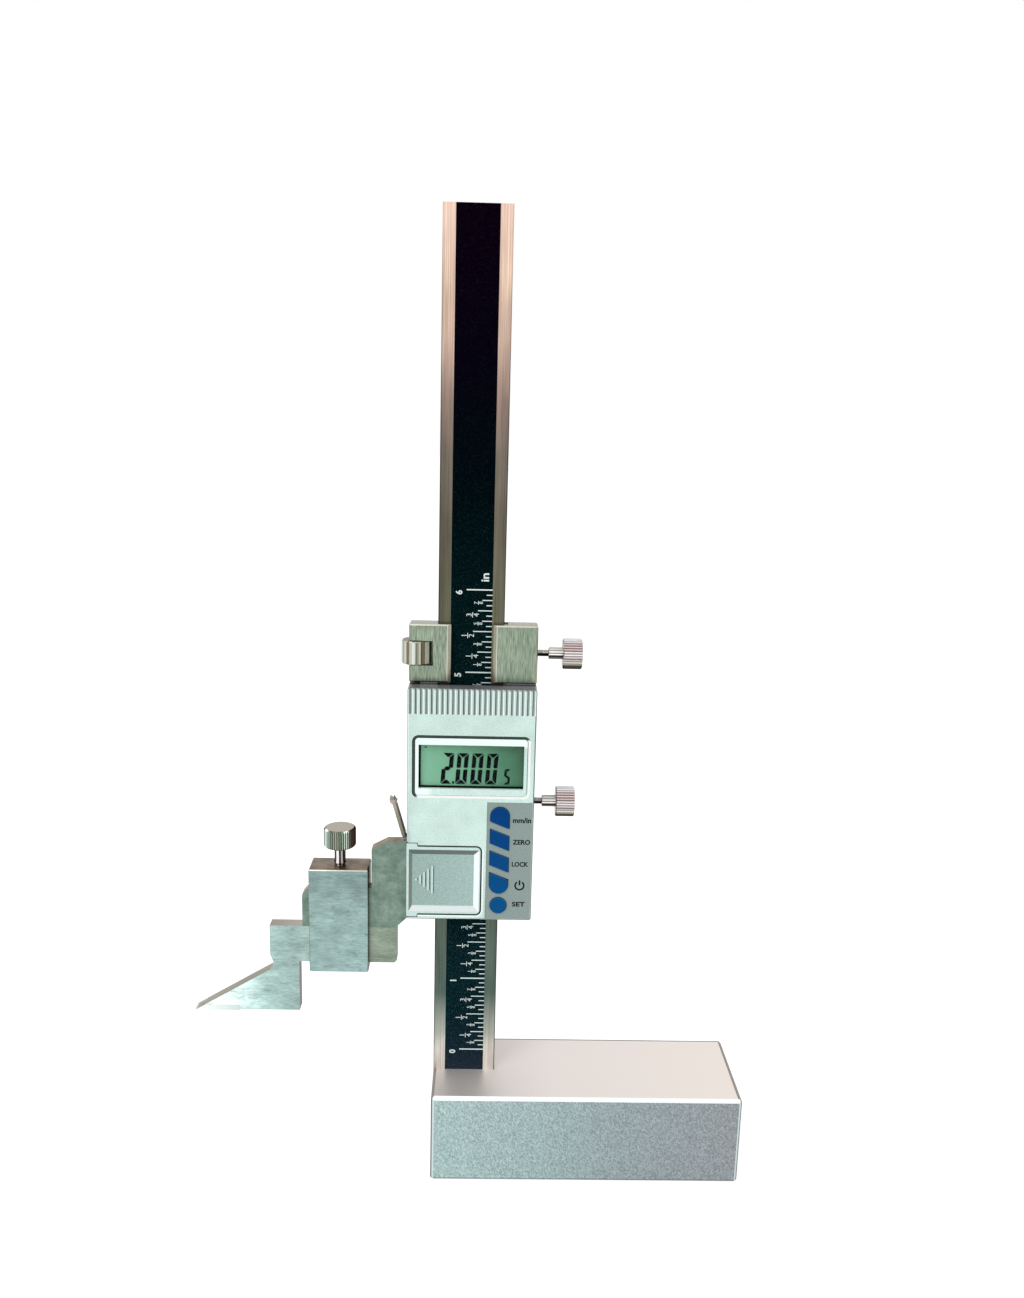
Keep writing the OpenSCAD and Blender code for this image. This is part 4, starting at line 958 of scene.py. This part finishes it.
lock_screw("slider_lock", SLIDER_LOCK_Z, 2.7)
lock_screw("carriage_lock", CARRIAGE_LOCK_Z, 3.4)
shank = lathe([(1.5, 93.55), (1.5, 100.9), (1.9, 101.5), (1.9, 102.0), (1.75, 102.3), (1.75, CLAMP_HEAD_Z)],
              "clamp_shank")
piece("clamp_screw_shank", placed(shank, "z", (*CLAMP_AXIS, 0)), "shank", "thumb_screw", "plated_steel")
knurled_piece("clamp_screw_head", "clamp_head", "z", (*CLAMP_AXIS, CLAMP_HEAD_Z), "thumb_screw", "clamp_screw",
              Diameter=0.01, Length=0.0062, Teeth=44, Tooth_depth=0.0003, Bevel=0.0005)
knurled_piece("adjust_nut_knurled", "nut", "z", NUT, "nut", "adjust_nut",
              Diameter=0.0091, Length=0.0072, Teeth=26, Tooth_depth=0.0003, Bevel=0.0003, Bore=0.0026)

# Graduations and figures on the scale
PRINT_FRONT = BEAM_FRONT - 0.02
# For each sixteenth: the fraction's numerator and denominator, and the length of its line
FRACTIONS = {2: (1, 8, 3.0), 4: (1, 4, 4.3), 6: (3, 8, 3.0), 8: (1, 2, 5.7), 10: (5, 8, 3.0), 12: (3, 4, 4.3),
             14: (7, 8, 3.0)}


def fraction(top, bottom, x, z, height):
    """A fraction turned a quarter: its numerator to the left, then its bar and its denominator."""
    gap = height * 0.68
    bar = plates([box_outline(x - 0.1, x + 0.1, z - height * 0.5, z + height * 0.5)], PRINT_FRONT, 0.02, "bar")
    return [lettering(str(top), height, (x - gap, z), PRINT_FRONT, turn=90),
            lettering(str(bottom), height, (x + gap, z), PRINT_FRONT, turn=90), bar]


marks = [graduation_recipe().make("print_white")]
for inch in range(7):
    z = SCALE_ZERO + inch * INCH
    marks.append(lettering(str(inch), 2.05, (STRIP_RIGHT - 10.1, z - 0.85), PRINT_FRONT, turn=90, thin=-0.03))
    for sixteenth, (top, bottom, line) in FRACTIONS.items() if inch < 6 else ():
        height, beside, below = (1.6, 1.6, 1.3) if bottom < 8 else (1.1, 1.2, 0.75)
        marks += fraction(top, bottom, STRIP_RIGHT - line - beside, z + sixteenth * INCH / 16 - below, height)
marks.append(lettering("in", 2.3, (STRIP_RIGHT - 2.3, SCALE_ZERO + 6 * INCH + 3.8), PRINT_FRONT, 2.5, 90,
                       thin=-0.02))
piece("scale_marks", joined(marks, "scale_marks"), "print_white", "stand", "scale_black")

# Display figures: seven slanted bars with mitred gaps
SEGMENTS = {"0": "abcdef", "2": "abged", "5": "afgcd"}
SLANT = 0.075
FIGURE_FOOT = 129.65
LARGE_FIGURE = (3.4, 9.8, 1.24, 0.13)
SMALL_FIGURE = (1.9, 4.95, 0.76, 0.05)
READING = (("2", -48.1, LARGE_FIGURE), ("0", -43.6, LARGE_FIGURE), ("0", -39.05, LARGE_FIGURE),
           ("0", -34.5, LARGE_FIGURE), ("5", -28.85, SMALL_FIGURE))


def figure(digit, x, z, width, height, bar, gap):
    """The outlines of a figure's bars, with its lower left corner at x and z."""
    mid = height / 2
    b, g = bar, gap * 1.4
    waist = gap * 2.4
    shapes = {
        "a": [(g, height), (width - g, height), (width - b - g, height - b), (b + g, height - b)],
        "d": [(g, 0), (b + g, b), (width - b - g, b), (width - g, 0)],
        "f": [(0, height - g), (b, height - b - g), (b, mid + waist * 1.3), (b / 2, mid + waist * 0.7),
              (0, mid + waist)],
        "e": [(0, g), (0, mid - waist), (b / 2, mid - waist * 0.7), (b, mid - waist * 1.3), (b, b + g)],
        "g": [(b * 0.55, mid), (b * 1.05, mid + b / 2), (width - b * 1.05, mid + b / 2), (width - b * 0.55, mid),
              (width - b * 1.05, mid - b / 2), (b * 1.05, mid - b / 2)],
    }
    for name, twin in (("b", "f"), ("c", "e")):
        shapes[name] = [(width - px, pz) for px, pz in shapes[twin]][::-1]
    return [[(x + px + pz * SLANT, z + pz) for px, pz in shapes[s]] for s in SEGMENTS[digit]]


bars = []
for digit, x, sizes in READING:
    bars += figure(digit, x, FIGURE_FOOT, *sizes)
bars.append([(-44.5, 129.7), (-43.95, 129.7), (-43.9, 130.5), (-44.45, 130.5)])
shadows = [[(x + 0.16, z - 0.16) for x, z in bar] for bar in bars]
bars.append(box_outline(-53.0, -52.3, 141.0, 141.35))
piece("display_figures", plates(bars, PANEL_FRONT - 0.03, 0.02, "display_figures"), "digit", "slider",
      "display_green")
piece("display_figure_shadows", plates(shadows, PANEL_FRONT - 0.01, 0.01, "display_figure_shadows"), "shade",
      "slider", "display_green")

# Print beside the keys
WORDS = (("mm/in", 1.75, -22.85, 119.0, 5.6), ("ZERO", 1.6, -22.85, 111.9, 5.4), ("LOCK", 1.6, -23.1, 104.65, 5.1),
         ("SET", 1.6, -23.3, 91.4, 4.0))
KEY_PRINT_FRONT = LABEL_FRONT - 0.015


def power_sign(x, z, radius, width):
    """A ring that is open at its top, with an upright bar in the opening."""
    start, end = math.radians(58), math.radians(-238)
    steps = 40
    turns = [start + (end - start) * i / steps for i in range(steps + 1)]
    outer, inner = ([(x + r * math.cos(a), z + r * math.sin(a)) for a in turns] for r in (radius, radius - width))
    arcs = [[outer[i], outer[i + 1], inner[i + 1], inner[i]] for i in range(steps)]
    arcs.append(box_outline(x - width / 2, x + width / 2, z + 0.1, z + radius + 0.2))
    return plates(arcs, KEY_PRINT_FRONT, 0.015, "power_sign")


words = [lettering(text, height, (x, z), KEY_PRINT_FRONT, width, thickness=0.015, thin=-0.035)
         for text, height, x, z, width in WORDS]
words.append(power_sign(-23.1, 97.6, 1.6, 0.5))
piece("key_print", joined(words, "key_print"), "print_dark", "slider", "label_grey")

# Camera, fitted to the photograph: millimetres, degrees, and a focal length in the photograph's pixels
CAMERA_PLACE, CAMERA_TURNS, FOCAL_LENGTH = (-35.02, -327.61, 240.43), (1.397, 12.024, -1.447), 1100
PHOTO_HEIGHT = 1298
SENSOR = 36
yaw, pitch, roll = (math.radians(a) for a in CAMERA_TURNS)
ahead = Vector((math.sin(yaw) * math.cos(pitch), math.cos(yaw) * math.cos(pitch), -math.sin(pitch)))
level = Vector((math.cos(yaw), -math.sin(yaw), 0))
down = ahead.cross(level)
right = math.cos(roll) * level + math.sin(roll) * down
below = math.cos(roll) * down - math.sin(roll) * level
camera = linked(bpy.data.objects.new("camera", bpy.data.cameras.new("camera")))
turn = Matrix((right, -below, -ahead)).transposed().to_4x4()
camera.matrix_world = Matrix.Translation(Vector(CAMERA_PLACE) * MM) @ turn
camera.data.sensor_width = SENSOR
camera.data.lens = FOCAL_LENGTH * SENSOR / PHOTO_HEIGHT
camera.data.clip_start, camera.data.clip_end = 0.01, 20
bpy.context.scene.camera = camera

# Floor, world and lamps
AIM = (-0.03, 0, 0.12)
LAMP_SIZE = 0.8
LAMPS = {"key_lamp": ((-0.7, -0.9, 1.1), 7.0), "fill_lamp": ((0.9, -0.7, 0.6), 2.0)}
WORLD_LIGHT = 0.62
FLOOR_GLOW = 0.6


def seen_plainly(tree):
    """1 for the camera and for mirrored or refracted rays, 0 for the rays that light the object."""
    ray = put(tree, "ShaderNodeLightPath").outputs
    seen = ray["Is Camera Ray"]
    for other in ("Is Glossy Ray", "Is Transmission Ray"):
        seen = put(tree, "ShaderNodeMath", {0: seen, 1: ray[other]}, operation="MAXIMUM").outputs[0]
    return seen


def studio_floor():
    """A pale floor that keeps the object's shadow and looks white, also in mirrors."""
    shape = bmesh.new()
    bmesh.ops.create_grid(shape, x_segments=1, y_segments=1, size=6)
    mesh = to_mesh(shape, "studio_floor")
    floor = linked(bpy.data.objects.new("studio_floor", mesh))
    floor.location.z = -0.0002
    material = bpy.data.materials.new("studio_floor")
    material.use_nodes = True
    tree = material.node_tree
    surface = tree.nodes["Principled BSDF"].inputs
    surface["Base Color"].default_value = (0.8, 0.8, 0.8, 1)
    surface["Roughness"].default_value = 1.0
    surface["Specular IOR Level"].default_value = 0.0
    surface["Emission Color"].default_value = (1, 1, 1, 1)
    glow = put(tree, "ShaderNodeMath", {0: seen_plainly(tree), 1: FLOOR_GLOW}, operation="MULTIPLY")
    tree.links.new(glow.outputs[0], surface["Emission Strength"])
    mesh.materials.append(material)


def studio_world():
    """White where it is seen, and a plain level of light on the object."""
    world = bpy.data.worlds.new("studio")
    world.use_nodes = True
    tree = world.node_tree
    background = tree.nodes["Background"].inputs
    background[0].default_value = (1, 1, 1, 1)
    strength = put(tree, "ShaderNodeMapRange", {"Value": seen_plainly(tree), "To Min": WORLD_LIGHT, "To Max": 1.0})
    tree.links.new(strength.outputs[0], background[1])
    bpy.context.scene.world = world


def soft_lamp(name, place, watts):
    light = bpy.data.lights.new(name, "AREA")
    light.shape = "DISK"
    light.size = LAMP_SIZE
    light.energy = watts
    lamp = linked(bpy.data.objects.new(name, light))
    lamp.location = place
    lamp.rotation_mode = "QUATERNION"
    lamp.rotation_quaternion = (Vector(AIM) - Vector(place)).to_track_quat("-Z", "Y")


studio_floor()
studio_world()
for name, (place, watts) in LAMPS.items():
    soft_lamp(name, place, watts)
bpy.context.scene.view_settings.view_transform = "Standard"

bpy.context.view_layer.update()
